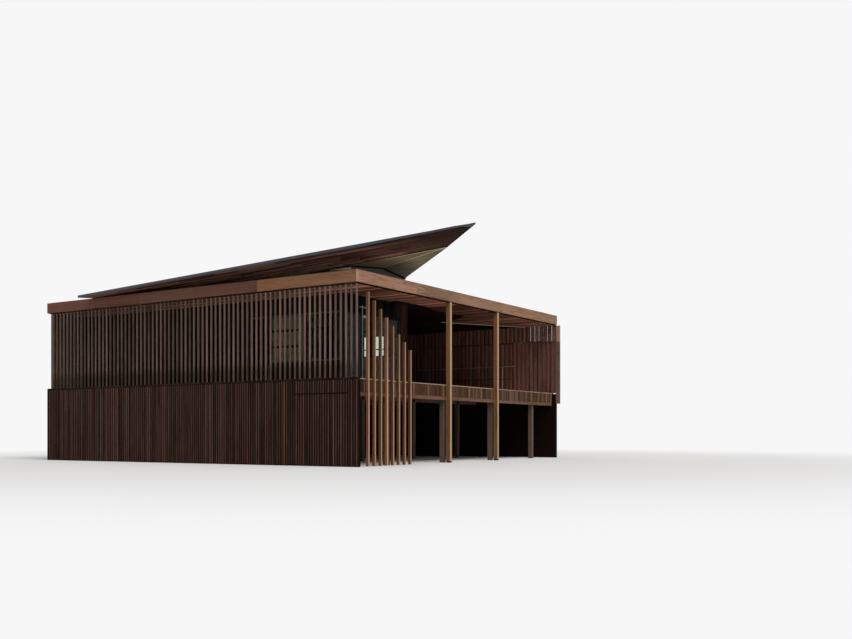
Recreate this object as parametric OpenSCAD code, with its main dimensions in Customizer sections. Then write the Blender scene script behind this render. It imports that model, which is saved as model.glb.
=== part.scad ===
// Beach house on a raised timber floor. A flat roof covers a slatted front, a room wing, rear rooms and an
// open deck. A thin folded roof lifts out of the flat one on a clerestory and flies past the near corner.
// x runs from the near corner along the slatted front, y from that front to the back, z up from the ground.
// place() mirrors the whole, so that the open deck lies to the right of the slatted front, and centres it.

/* [Plan] */
// Length of the flat roof along the slatted front
house_l = 13200; // [12400:100:15000]
// Length of the flat roof along the deck side
house_w = 12650; // [11800:50:14000]
// Distance of the room wing's glass side wall from the deck side of the roof
room_x = 1500; // [1300:50:1700]
// Distance of the room wing's front wall from the slatted front
room_y = 1400; // [1200:50:1500]
// Depth of the room wing
room_w = 3300; // [3250:50:3600]
// Distance of the rear rooms' wall from the deck side of the roof
rear_x = 9400; // [9200:50:9700]
// Thickness of the room walls
wall_t = 120; // [90:5:150]

/* [Levels] */
// Height of the floor above the ground
floor_z = 2430; // [2100:30:3000]
// Height from the floor to the soffit
ceiling_h = 2570; // [2500:10:3000]
// Height from the floor to the heads of the windows and doors
head_h = 2070; // [2050:10:2200]

/* [Base and floor] */
// Thickness of the boarded base walls
base_t = 150; // [100:5:180]
// Thickness of the floor boards
floor_t = 30; // [20:1:40]
// Depth of the joists
joist_h = 190; // [140:10:220]
// Width of a joist
joist_w = 45; // [35:5:60]
// Spacing of the joists
joist_pitch = 600; // [450:50:700]
// Depth of the bearers
bearer_h = 180; // [140:10:220]
// Width of a bearer
bearer_w = 90; // [70:10:120]
// Width of a pier
pier_w = 140; // [120:10:160]
// Height of the vertical boards that close the deck's edge
skirt_h = 345; // [250:5:400]
// Thickness of the edge boards
skirt_t = 25; // [15:1:35]
// Width of the ledger under the edge boards
ledger_w = 50; // [40:5:70]
// Depth of the ledger
ledger_h = 105; // [80:5:140]

/* [Slatted front] */
// Width of a batten along the front
batten_w = 72; // [50:1:90]
// Depth of a batten
batten_t = 45; // [30:1:60]
// Spacing of the battens
batten_pitch = 181; // [150:1:220]
// Distance of the first batten from the near corner
batten_start = 17; // [10:1:60]
// Depth of the rail that the battens stand on
rail_h = 62; // [50:1:80]
// Distance of that rail's underside below the floor
rail_drop = 50; // [40:1:60]
// Depth of the nailing rail behind the battens' heads
nail_rail_h = 60; // [40:5:90]
// Thickness of the nailing rail
nail_rail_t = 30; // [20:1:40]

/* [Fins and posts] */
// Width of a fin both ways
fin_w = 90; // [70:1:100]
// Distance of the first fin from the slatted front
fin_start = 600; // [400:10:700]
// Spacing of the fins
fin_pitch = 300; // [250:1:350]
// Drop of the first fin's top below the soffit
fin_drop = 173; // [120:1:250]
// Drop from one fin's top to the next
fin_step = 210; // [180:1:240]
// Width of a deck post along the deck side
post_w = 130; // [100:5:200]
// Depth of a deck post, and the distance of the deck's edge from the roof's edge
post_t = 150; // [120:5:180]
// Distance of the first deck post's middle from the slatted front
post_start = 4905; // [4600:5:5100]
// Spacing of the deck posts and of the piers
post_pitch = 3080; // [2800:10:3200]

/* [End wall] */
// Distance of the end wall's outer face from the back of the roof
end_in = 50; // [0:5:120]
// Thickness of the end wall
end_t = 60; // [40:5:80]
// Height of its closed boards
end_board_h = 1940; // [1800:10:2100]
// Depth of the rail on the boards
end_rail_h = 50; // [40:5:80]
// Width of the rail, which stands proud on both sides
end_rail_w = 100; // [80:5:140]
// Spacing of the upper slats
end_pitch = 178; // [150:1:200]
// Width of an upper slat
end_slat_w = 172; // [90:1:172]
// Distance of the first upper slat from the deck side of the roof
end_first = 5; // [0:5:60]
// Reach of the spaced upper slats from the deck side of the roof, before closed boards begin
end_slats_l = 2320; // [1500:10:4000]
// Length of the bay beside the rear rooms, where the end wall is low and open above
low_bay_l = 1500; // [1200:50:3000]
// Height of the boards in that bay
low_bay_h = 1500; // [1000:50:1700]

/* [Balustrade] */
// Distance of the balustrade from the slatted front
guard_y = 11000; // [10500:50:11500]
// Its distance from the deck side of the roof
guard_x = 980; // [900:20:1200]
// Its length
guard_l = 4220; // [4000:20:4600]
// Height of its top rail
guard_h = 970; // [900:10:1100]
// Reach of its rails past the first post
guard_in = 470; // [300:10:600]
// Number of its posts
guard_posts = 7; // [5:1:9]
// Width of its posts and rails
guard_w = 30; // [25:1:50]

/* [Flat roof] */
// Depth of the fascia boards
fascia_h = 350; // [300:10:450]
// Thickness of the fascia boards
fascia_t = 40; // [25:1:50]
// Height of the fascia's lower edge above the soffit boards' face
fascia_gap = 10; // [2:1:20]
// Thickness of the soffit boards
soffit_t = 30; // [20:1:40]
// Thickness of the flat roof's sheet and boards
sheet_t = 30; // [20:1:50]
// Height of the fascia's top above the sheet
upstand = 30; // [15:1:60]
// Width of a rafter
rafter_w = 60; // [45:5:90]
// Spacing of the rafters
rafter_pitch = 1200; // [900:50:1500]

/* [Clerestory] */
// Distance of the clerestory's front glass behind the room's front wall
cler_in = 340; // [250:10:400]
// Width of the clerestory from its front glass to its back
cler_w = 2800; // [2700:10:2850]
// Distance of the ridge from the clerestory's front glass
ridge_in = 1575; // [1400:5:1700]
// Height of the clerestory's front above the fascia at its end wall
cler_front_h = 472; // [420:2:520]
// Height of the ridge's underside above the fascia at the end wall
ridge_h = 624; // [580:2:660]
// Height of the clerestory's back above the fascia at its end wall
cler_back_h = 475; // [430:5:520]
// Thickness of the clerestory glass
cler_glass_t = 20; // [12:1:30]

/* [Folded roof] */
// Reach of the tip past the deck side of the flat roof
tip_reach = 3850; // [3400:50:4200]
// Reach of the long edge past the slatted front
tip_over = 300; // [200:10:400]
// Height of the tip's top above the fascia
tip_h = 750; // [720:5:800]
// Depth of the metal edge
edge_h = 90; // [60:5:120]
// Thickness of the metal edge in plan
edge_t = 40; // [25:1:60]
// Fall of the long edge away from the tip, in degrees
edge_fall = 2.51; // [2.4:0.01:2.7]
// Reach of the knee, where the fold meets the end cut, past the deck side of the flat roof
knee_reach = 1776; // [1600:8:2000]
// Height of the knee's underside above the fascia
knee_h = 679; // [660:2:700]
// Thickness of the linings under the folded roof
lining_t = 20; // [12:1:30]
// Thickness of the folded roof above its linings
folded_t = 60; // [40:2:100]

/* [Windows] */
// Height of the front window's sill above the floor
front_sill = 620; // [550:10:750]
// Distance of the front window from the room's glass side wall
front_win_in = 150; // [150:10:250]
// Length of the front window
front_win_l = 2750; // [2500:50:3000]
// Length of the front window's lined half
front_panel_l = 1290; // [1100:10:1400]
// Length of the tall glass beside the front window
front_door_l = 800; // [700:10:1000]
// Height of the tall glass's sill above the floor
low_sill = 50; // [40:5:100]
// Width of a window frame's bars
frame_w = 50; // [40:1:60]
// Depth of a window frame
frame_t = 70; // [60:1:80]
// Thickness of the window glass
glass_t = 20; // [12:1:24]
// Width of the wide stile in the glass side wall
stile_w = 240; // [150:10:300]
// Distance of the wide stile from the room's front corner
stile_in = 650; // [500:10:800]
// Length of the pier that ends the glass side wall
pier_l = 400; // [300:10:500]
// Height of the small back window's sill above the floor
back_sill = 940; // [900:10:1050]
// Height of the small back window
back_win_h = 740; // [650:10:800]
// Length of the small back window
back_win_l = 1500; // [1300:50:1600]
// Distance of the small back window from the room's glass side wall
back_win_in = 300; // [250:10:400]
// Length of the sliding glass to the deck
slider_l = 3000; // [2600:50:3200]
// Distance of the sliding glass from the corner where it starts
slider_in = 2900; // [2600:50:3100]
// Length of a window in the left wall
side_win_l = 1800; // [1400:50:2000]
// Length of the window in the rear rooms' back wall
rear_win_l = 1200; // [900:50:1400]
// Distance of that window from the rear rooms' deck wall
rear_win_in = 300; // [250:10:400]

/* [Hidden] */

wood = "#8a5a3c";
dark_wood = "#5f3d2c";
light_wood = "#b07a50";
grey = "#7d8688";
glass = "#9fb2b0";
tan_panel = "#a98f6c";
olive = "#8d8a70";

// Reach of a cut past both faces of what it cuts
past = 1;
fin_count = 8;
bay_count = 3;
pier_row_count = 5;
soffit_z = floor_z + ceiling_h;
head_z = floor_z + head_h;
joist_z = floor_z - floor_t - joist_h;
bearer_z = joist_z - bearer_h;
skirt_z = floor_z - floor_t - skirt_h;
fascia_z = soffit_z + fascia_gap;
top_z = fascia_z + fascia_h;
sheet_z = top_z - upstand - sheet_t;
room_back_y = room_y + room_w;
rail_z = floor_z - rail_drop;
batten_z = rail_z + rail_h;
batten_count = floor((house_l - batten_start) / batten_pitch);
bay_battens = ceil(batten_count / bay_count);

cler_y = room_y + cler_in;
cler_back_y = cler_y + cler_w;
ridge_y = cler_y + ridge_in;
// Fall of the clerestory and of the ridge for each millimetre along x
fold_fall = (knee_h - cler_front_h) / (room_x + knee_reach);
// Where the clerestory's front has come down to the fascia's level
cler_end_x = room_x + cler_front_h / fold_fall;
function fold_drop(x) = fold_fall * (x - room_x);

// Corners of the folded roof's underside
knee = [-knee_reach, cler_y, top_z + knee_h];
ridge_end = [room_x, ridge_y, top_z + ridge_h];
back_corner = [room_x, cler_back_y, top_z + cler_back_h];
front_foot = [cler_end_x, cler_y, top_z];
ridge_foot = [cler_end_x, ridge_y, top_z + ridge_h - fold_drop(cler_end_x)];
back_foot = [cler_end_x, cler_back_y, top_z + cler_back_h - fold_drop(cler_end_x)];
tip = [-tip_reach, -tip_over, top_z + tip_h - edge_h];
edge_foot = [(tip_h - edge_h) / tan(edge_fall) - tip_reach, -tip_over, top_z];
function between(a, b, share) = a + (b - a) * share;
edge_share = edge_t / (cler_y + tip_over);
tip_in = between(tip, knee, edge_share);
edge_foot_in = between(edge_foot, front_foot, edge_share);
function raised(points, by) = [for (p = points) p + [0, 0, by]];

module place() {
    translate([(house_l - tip_reach) / 2, -(house_w - tip_over) / 2, 0]) mirror([1, 0, 0]) children();
}

// A box from its lowest corner to its highest
module block(low, high) translate(low) cube(high - low);

// A thin folded solid over an outline of at least three points, with its folds running from the first point
module folded(low, high) {
    n = len(low);
    fan = [for (i = [1 : n - 2]) [0, i, i + 1]];
    sides = [for (i = [0 : n - 1]) let (j = (i + 1) % n) [i, j, n + j, n + i]];
    under = [for (f = fan) [f[2], f[1], f[0]]];
    over = [for (f = fan) [n + f[0], n + f[1], n + f[2]]];
    polyhedron(concat(low, high), concat(under, over, sides));
}

// An outline in x and z that stands at y and is as thick as t towards the back
module upright(y, t, outline) translate([0, y + t, 0]) rotate([90, 0, 0]) linear_extrude(t) polygon(outline);

// An outline in y and z that stands at x and is as thick as t away from the deck side
module crosswise(x, t, outline)
    translate([x, 0, 0]) rotate([90, 0, 90]) linear_extrude(t) polygon(outline);

// A window is [start, end, sill, head, bars], and each of its inner bars is [start, width]
function gaps(window) = let (
    bars = concat([[window[0], frame_w]], window[4], [[window[1] - frame_w, frame_w]])
) [for (i = [0 : len(bars) - 2]) [bars[i][0] + bars[i][1], bars[i + 1][0]]];
// The hole, the frame and the panes of a window in a wall whose nearer face is at y
module hole(window, y) block([window[0], y - past, window[2]], [window[1], y + wall_t + past, window[3]]);
module frame(window, y) difference() {
    block([window[0], y + frame_in, window[2]], [window[1], y + frame_in + frame_t, window[3]]);
    for (gap = gaps(window))
        block([gap[0], y, window[2] + frame_w], [gap[1], y + wall_t, window[3] - frame_w]);
}
module panes(window, y) for (gap = gaps(window))
    block([gap[0], y + glass_in, window[2] + frame_w], [gap[1], y + glass_in + glass_t, window[3] - frame_w]);
// Turns what runs along the front so that it runs from the front to the back
module turned() mirror([1, -1, 0]) children();

module base_wall_front() color(wood) place() block([0, 0, 0], [house_l, base_t, rail_z]);
module base_wall_left() color(wood) place()
    block([house_l - base_t, base_t, 0], [house_l, house_w, floor_z - floor_t]);
module base_wall_back() color(wood) place()
    block([0, house_w - base_t, 0], [house_l - base_t, house_w, floor_z - floor_t]);

pier_first = post_t + skirt_t + pier_w;
pier_step = (house_l - base_t - pier_w - pier_first) / (pier_row_count - 1);
pier_rows = [for (i = [0 : pier_row_count - 1]) pier_first + i * pier_step];
pier_lines = [for (i = [-1 : 2]) post_start + i * post_pitch];
module floor_piers() color(dark_wood) place() for (x = pier_rows, y = pier_lines)
    block([x - pier_w / 2, y - pier_w / 2, 0], [x + pier_w / 2, y + pier_w / 2, bearer_z]);
module floor_bearers() color(dark_wood) place() for (x = pier_rows)
    block([x - bearer_w / 2, base_t, bearer_z], [x + bearer_w / 2, house_w - base_t, joist_z]);
module floor_joists() color(dark_wood) place()
    for (y = [base_t : joist_pitch : house_w - base_t - joist_w])
        block([post_t + skirt_t, y, joist_z], [house_l - base_t, y + joist_w, floor_z - floor_t]);

// Plan of the two rooms' floors: the wing behind the front wall and the rear rooms beside the deck
module room_plan() polygon([
    [room_x, room_y], [house_l, room_y], [house_l, house_w], [rear_x, house_w],
    [rear_x, room_back_y], [room_x, room_back_y],
]);
module floor_slab() translate([0, 0, floor_z - floor_t]) linear_extrude(floor_t) children();
module room_floor() color(light_wood) place() floor_slab() room_plan();
module deck_floor() color(wood) place() floor_slab() difference() {
    union() {
        translate([post_t, base_t]) square([house_l - post_t, house_w - base_t]);
        translate([0, house_w - base_t]) square([2 * post_t, base_t]);
    }
    room_plan();
}
// The boards that close the deck's edge, on their ledger
module deck_skirt() color(wood) place() {
    block([post_t, base_t, skirt_z], [post_t + skirt_t, house_w - base_t, floor_z - floor_t]);
    block([post_t, base_t, skirt_z - ledger_h], [post_t + ledger_w, house_w - base_t, skirt_z]);
}

module screen_rail() color(wood) place()
    block([0, 0, rail_z], [house_l, base_t, batten_z]);

// Battens first to last, fixed to one nailing rail behind their heads
module screen_bay(bay) {
    first = bay * bay_battens;
    last = min(first + bay_battens, batten_count) - 1;
    at = function (i) batten_start + i * batten_pitch;
    for (i = [first : last])
        block([at(i), 0, batten_z], [at(i) + batten_w, batten_t, soffit_z]);
    block([at(first), batten_t, soffit_z - nail_rail_h],
        [at(last) + batten_w, batten_t + nail_rail_t, soffit_z]);
}
module screen_bay_1() color(wood) place() screen_bay(0);
module screen_bay_2() color(wood) place() screen_bay(1);
module screen_bay_3() color(wood) place() screen_bay(2);

module stepped_fins() color(light_wood) place() for (i = [0 : fin_count - 1])
    block([post_t - fin_w, fin_start + i * fin_pitch, 0],
        [post_t, fin_start + i * fin_pitch + fin_w, soffit_z - fin_drop - i * fin_step]);
module deck_posts() color(light_wood) place() for (i = [0, 1])
    block([0, post_start + i * post_pitch - post_w / 2, 0],
        [post_t, post_start + i * post_pitch + post_w / 2, soffit_z]);

end_y = house_w - end_in - end_t;
end_rail_z = floor_z + end_board_h;
low_bay_x = rear_x - low_bay_l;
low_rail_z = floor_z + low_bay_h;
module end_wall_boards() color(wood) place() {
    block([0, end_y, floor_z], [low_bay_x, end_y + end_t, end_rail_z]);
    block([low_bay_x, end_y, floor_z], [rear_x, end_y + end_t, low_rail_z]);
}
// The rail on the boards, with the spaced slats and the closed boards that stand on it
module end_wall_top() color(wood) place() {
    above = end_rail_z + end_rail_h;
    rail_y = end_y + (end_t - end_rail_w) / 2;
    block([0, rail_y, end_rail_z], [low_bay_x, rail_y + end_rail_w, above]);
    block([low_bay_x, rail_y, low_rail_z], [rear_x, rail_y + end_rail_w, low_rail_z + end_rail_h]);
    for (x = [end_first : end_pitch : end_slats_l - end_slat_w])
        block([x, end_y, above], [x + end_slat_w, end_y + end_t, soffit_z]);
    block([end_slats_l, end_y, above], [low_bay_x, end_y + end_t, soffit_z]);
}

module deck_balustrade() color(dark_wood) place() {
    first = guard_x + guard_in;
    step = (guard_l - guard_in - guard_w) / (guard_posts - 1);
    top = floor_z + guard_h - guard_w;
    for (i = [0 : guard_posts - 1])
        block([first + i * step, guard_y, floor_z], [first + i * step + guard_w, guard_y + guard_w, top]);
    for (z = [floor_z + guard_h / 2, top])
        block([guard_x, guard_y, z], [guard_x + guard_l, guard_y + guard_w, z + guard_w]);
}

sill_z = floor_z + front_sill;
low_z = floor_z + low_sill;
frame_in = (wall_t - frame_t) / 2;
glass_in = (wall_t - glass_t) / 2;
front_window_x = room_x + front_win_in;
tall_glass_x = front_window_x + front_win_l;
panel_x = tall_glass_x - front_panel_l;
front_window = [front_window_x, tall_glass_x, sill_z, head_z, [[panel_x - frame_w, frame_w]]];
tall_glass = [tall_glass_x, tall_glass_x + front_door_l, low_z, head_z, []];
side_end_y = room_back_y - pier_l;
side_window = [room_y + wall_t, side_end_y, floor_z, head_z, [[room_y + stile_in, stile_w]]];
back_window_x = room_x + back_win_in;
back_window_z = floor_z + back_sill;
back_window = [back_window_x, back_window_x + back_win_l, back_window_z, back_window_z + back_win_h, []];
function slider(from) = [from, from + slider_l, low_z, head_z, [[from + (slider_l - frame_w) / 2, frame_w]]];
room_slider = slider(room_x + slider_in);
rear_slider = slider(room_back_y + slider_in);
function side_win(middle) = [middle - side_win_l / 2, middle + side_win_l / 2, sill_z, head_z, []];
rear_win_x = rear_x + rear_win_in;
rear_back_window = [rear_win_x, rear_win_x + rear_win_l, sill_z, head_z, []];
left_windows = [side_win(room_y + room_w / 2), side_win(room_back_y + slider_in + slider_l / 2)];
room_back_in = room_back_y - wall_t;
rear_back_in = house_w - wall_t;
left_in = house_l - wall_t;

module room_front_wall() color(dark_wood) place() difference() {
    block([room_x, room_y, floor_z], [left_in, room_y + wall_t, soffit_z]);
    hole(front_window, room_y);
    hole(tall_glass, room_y);
}
// The panel over the glass side wall and the pier that ends it
module room_side_wall() color(dark_wood) place() {
    block([room_x, room_y + wall_t, head_z], [room_x + wall_t, side_end_y, soffit_z]);
    block([room_x, side_end_y, floor_z], [room_x + wall_t, room_back_y, soffit_z]);
}
module room_back_wall() color(dark_wood) place() difference() {
    block([room_x + wall_t, room_back_in, floor_z], [rear_x + wall_t, room_back_y, soffit_z]);
    hole(back_window, room_back_in);
    hole(room_slider, room_back_in);
}
module rear_deck_wall() color(dark_wood) place() difference() {
    block([rear_x, room_back_y, floor_z], [rear_x + wall_t, rear_back_in, soffit_z]);
    turned() hole(rear_slider, rear_x);
}
module rear_back_wall() color(dark_wood) place() difference() {
    block([rear_x, rear_back_in, floor_z], [left_in, house_w, soffit_z]);
    hole(rear_back_window, rear_back_in);
}
// It also closes the end of the walk behind the slatted front
module left_wall() color(dark_wood) place() difference() {
    block([left_in, base_t, floor_z], [house_l, house_w, soffit_z]);
    for (window = left_windows) turned() hole(window, left_in);
}
module front_window_frame() color(dark_wood) place() {
    frame(front_window, room_y);
    frame(tall_glass, room_y);
}
module room_side_frame() color(grey) place() turned() frame(side_window, room_x);
module rear_frames() color(grey) place() {
    frame(back_window, room_back_in);
    frame(room_slider, room_back_in);
    turned() frame(rear_slider, rear_x);
    frame(rear_back_window, rear_back_in);
    for (window = left_windows) turned() frame(window, left_in);
}
module front_window_panel() color(tan_panel) place()
    block([panel_x, room_y + wall_t, sill_z], [tall_glass_x, room_y + wall_t + lining_t, head_z]);
module room_glass() color(glass) place() {
    panes(front_window, room_y);
    panes(tall_glass, room_y);
    turned() panes(side_window, room_x);
}
module rear_glass() color(glass) place() {
    panes(back_window, room_back_in);
    panes(room_slider, room_back_in);
    turned() panes(rear_slider, rear_x);
    panes(rear_back_window, rear_back_in);
    for (window = left_windows) turned() panes(window, left_in);
}

// The well under the clerestory, which opens the room wing's ceiling
well_x0 = room_x + wall_t;
well_x1 = cler_end_x - wall_t;
well_y0 = cler_y + cler_glass_t;
well_y1 = cler_back_y - cler_glass_t;
module well(z0, z1, by = 0)
    block([well_x0 - by, well_y0 - by, z0], [well_x1 + by, well_y1 + by, z1]);
module soffit() color(wood) place() difference() {
    block([fascia_t, fascia_t, soffit_z], [house_l - fascia_t, house_w - fascia_t, soffit_z + soffit_t]);
    well(soffit_z - past, soffit_z + soffit_t + past);
}
// Rafters, trimmed by a curb around the well
module roof_frame() color(light_wood) place() difference() {
    union() {
        for (x = [fascia_t : rafter_pitch : house_l - fascia_t - rafter_w])
            block([x, fascia_t, soffit_z + soffit_t], [x + rafter_w, house_w - fascia_t, sheet_z]);
        well(soffit_z + soffit_t, sheet_z, rafter_w);
    }
    well(soffit_z, sheet_z + past);
}
module flat_roof() color(grey) place() difference() {
    block([fascia_t, fascia_t, sheet_z], [house_l - fascia_t, house_w - fascia_t, sheet_z + sheet_t]);
    well(sheet_z - past, sheet_z + sheet_t + past);
}

module fascia_front() color(light_wood) place()
    block([fascia_t, 0, fascia_z], [house_l, fascia_t, top_z]);
module fascia_deck_side() color(light_wood) place()
    block([0, 0, fascia_z], [fascia_t, house_w, top_z]);
module fascia_back() color(wood) place()
    block([fascia_t, house_w - fascia_t, fascia_z], [house_l, house_w, top_z]);
module fascia_left() color(wood) place()
    block([house_l - fascia_t, fascia_t, fascia_z], [house_l, house_w - fascia_t, top_z]);

cler_z = sheet_z + sheet_t;
module clerestory_glass() color(glass) place() upright(cler_y, cler_glass_t, [
    [well_x0, cler_z], [cler_end_x, cler_z], [cler_end_x, top_z],
    [well_x0, top_z + cler_front_h - fold_drop(well_x0)],
]);
// The wall under the folded roof's open end, and the low gable at its other end
module clerestory_ends() color(grey) place() {
    crosswise(room_x, wall_t, [
        [cler_y, cler_z], [cler_back_y, cler_z], [cler_back_y, top_z + cler_back_h - fold_drop(well_x0)],
        [ridge_y, top_z + ridge_h - fold_drop(well_x0)], [cler_y, top_z + cler_front_h - fold_drop(well_x0)],
    ]);
    crosswise(well_x1, wall_t, [
        [well_y0, cler_z], [well_y1, cler_z], [well_y1, back_foot.z], [ridge_y, ridge_foot.z],
        [well_y0, top_z],
    ]);
}
module clerestory_back() color(grey) place() upright(cler_back_y - cler_glass_t, cler_glass_t, [
    [well_x0, cler_z], [cler_end_x, cler_z], [cler_end_x, back_foot.z],
    [well_x0, top_z + cler_back_h - fold_drop(well_x0)],
]);
front_outline = [knee, ridge_end, ridge_foot, front_foot, edge_foot_in, tip_in];
back_outline = [ridge_end, knee, back_corner, back_foot, ridge_foot];
module folded_roof_front() color(grey) place()
    folded(raised(front_outline, lining_t), raised(front_outline, lining_t + folded_t));
module folded_roof_back() color(grey) place()
    folded(raised(back_outline, lining_t), raised(back_outline, lining_t + folded_t));
module folded_roof_edge() color("#5d666b") place() {
    outline = [tip, tip_in, edge_foot_in, edge_foot];
    folded(outline, raised(outline, edge_h));
}
module timber_lining() color(dark_wood) place() {
    outline = [knee, front_foot, edge_foot_in, tip_in];
    folded(outline, raised(outline, lining_t));
}
module upper_panel() color(olive) place() {
    outline = [knee, ridge_end, ridge_foot, front_foot];
    folded(outline, raised(outline, lining_t));
}
module lower_panel() color(olive) place() folded(back_outline, raised(back_outline, lining_t));

base_wall_front();
base_wall_left();
base_wall_back();
floor_piers();
floor_bearers();
floor_joists();
room_floor();
deck_floor();
deck_skirt();
screen_rail();
screen_bay_1();
screen_bay_2();
screen_bay_3();
stepped_fins();
deck_posts();
end_wall_boards();
end_wall_top();
deck_balustrade();
room_front_wall();
room_side_wall();
room_back_wall();
rear_deck_wall();
rear_back_wall();
left_wall();
front_window_frame();
room_side_frame();
rear_frames();
front_window_panel();
room_glass();
rear_glass();
soffit();
roof_frame();
flat_roof();
fascia_front();
fascia_deck_side();
fascia_back();
fascia_left();
clerestory_glass();
clerestory_ends();
clerestory_back();
folded_roof_front();
folded_roof_back();
folded_roof_edge();
timber_lining();
upper_panel();
lower_panel();
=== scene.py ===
import math
import random
import bpy
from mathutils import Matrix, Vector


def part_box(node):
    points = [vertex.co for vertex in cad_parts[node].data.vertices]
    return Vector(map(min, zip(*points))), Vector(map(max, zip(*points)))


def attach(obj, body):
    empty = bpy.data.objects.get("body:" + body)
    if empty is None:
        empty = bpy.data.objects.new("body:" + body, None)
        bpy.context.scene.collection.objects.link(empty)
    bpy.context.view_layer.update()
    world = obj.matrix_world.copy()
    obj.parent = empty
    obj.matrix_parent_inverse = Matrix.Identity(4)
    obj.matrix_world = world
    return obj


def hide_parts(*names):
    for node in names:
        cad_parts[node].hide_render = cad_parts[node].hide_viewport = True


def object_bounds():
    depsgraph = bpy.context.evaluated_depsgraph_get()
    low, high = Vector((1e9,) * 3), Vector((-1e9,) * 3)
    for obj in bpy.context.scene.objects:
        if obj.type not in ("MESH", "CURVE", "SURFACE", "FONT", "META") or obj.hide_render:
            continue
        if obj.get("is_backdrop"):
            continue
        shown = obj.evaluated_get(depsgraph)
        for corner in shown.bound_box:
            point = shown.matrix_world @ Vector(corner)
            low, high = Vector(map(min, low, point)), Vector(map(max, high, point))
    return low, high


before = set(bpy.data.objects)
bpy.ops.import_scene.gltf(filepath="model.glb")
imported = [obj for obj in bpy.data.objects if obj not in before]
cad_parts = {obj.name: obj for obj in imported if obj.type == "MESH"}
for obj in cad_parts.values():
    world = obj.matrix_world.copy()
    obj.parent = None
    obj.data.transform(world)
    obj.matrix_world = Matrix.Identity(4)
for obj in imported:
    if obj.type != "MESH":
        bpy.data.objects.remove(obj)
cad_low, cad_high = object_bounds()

# Plan values in metres. u runs from the near corner along the slatted front, v from that front to the back.
CORNER_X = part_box("fascia_deck_side")[1].x
CORNER_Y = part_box("fascia_deck_side")[0].y
HOUSE_L = 13.2
HOUSE_W = 12.65
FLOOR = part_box("deck_floor")[1].z
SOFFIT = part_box("soffit")[0].z
FASCIA_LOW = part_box("fascia_front")[0].z
FASCIA_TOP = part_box("fascia_front")[1].z
BASE_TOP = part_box("base_wall_front")[1].z
RAIL_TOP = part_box("screen_rail")[1].z
BASE_T = 0.15
DECK_EDGE = 0.15
ROOM_U, ROOM_V, ROOM_BACK = 1.5, 1.4, 4.7
REAR_U = 9.4
WALL_T = 0.12
ROOM_IN, PANEL_V = ROOM_U + WALL_T, ROOM_V + WALL_T
HEAD = FLOOR + 2.07
SILL = FLOOR + 0.62
LOW_SILL = FLOOR + 0.05
FASCIA_T, FASCIA_EDGE = 0.04, FASCIA_TOP - 0.004


def at(u, v, z):
    return CORNER_X - u, CORNER_Y + v, z


def every(pitch, start, end):
    """Places a pitch apart, from start and short of end."""
    while start < end:
        yield start
        start += pitch


# Mesh making

def eased_box_faces():
    """Faces of a box with eased edges: corner c has one point on each of its three sides, 3c + side."""
    corners = [(i, j, k) for i in (0, 1) for j in (0, 1) for k in (0, 1)]
    number = {c: n for n, c in enumerate(corners)}
    spots = []
    for c in corners:
        for side in range(3):
            spots.append([c[a] if a == side else 0.1 + 0.8 * c[a] for a in range(3)])
    faces = []
    for side in range(3):
        b, c = [a for a in range(3) if a != side]
        for end in (0, 1):
            ring = []
            for p, q in ((0, 0), (1, 0), (1, 1), (0, 1)):
                corner = [0, 0, 0]
                corner[side], corner[b], corner[c] = end, p, q
                ring.append(3 * number[tuple(corner)] + side)
            faces.append(ring)
        for p in (0, 1):
            for q in (0, 1):
                first, last = [0, 0, 0], [0, 0, 0]
                last[side] = 1
                first[b] = last[b] = p
                first[c] = last[c] = q
                one, two = 3 * number[tuple(first)], 3 * number[tuple(last)]
                faces.append([one + b, two + b, two + c, one + c])
    faces += [[3 * n, 3 * n + 1, 3 * n + 2] for n in range(8)]
    return [outward(face, spots, (0.5, 0.5, 0.5)) for face in faces]


def outward(face, points, middle):
    """The face, turned so that it looks away from the middle of its solid."""
    a, b, c = (points[i] for i in face[:3])
    p = [b[i] - a[i] for i in range(3)]
    q = [c[i] - a[i] for i in range(3)]
    normal = (p[1] * q[2] - p[2] * q[1], p[2] * q[0] - p[0] * q[2], p[0] * q[1] - p[1] * q[0])
    away = sum(normal[i] * (a[i] - middle[i]) for i in range(3))
    return face if away > 0 else face[::-1]


EASED = eased_box_faces()


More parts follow.
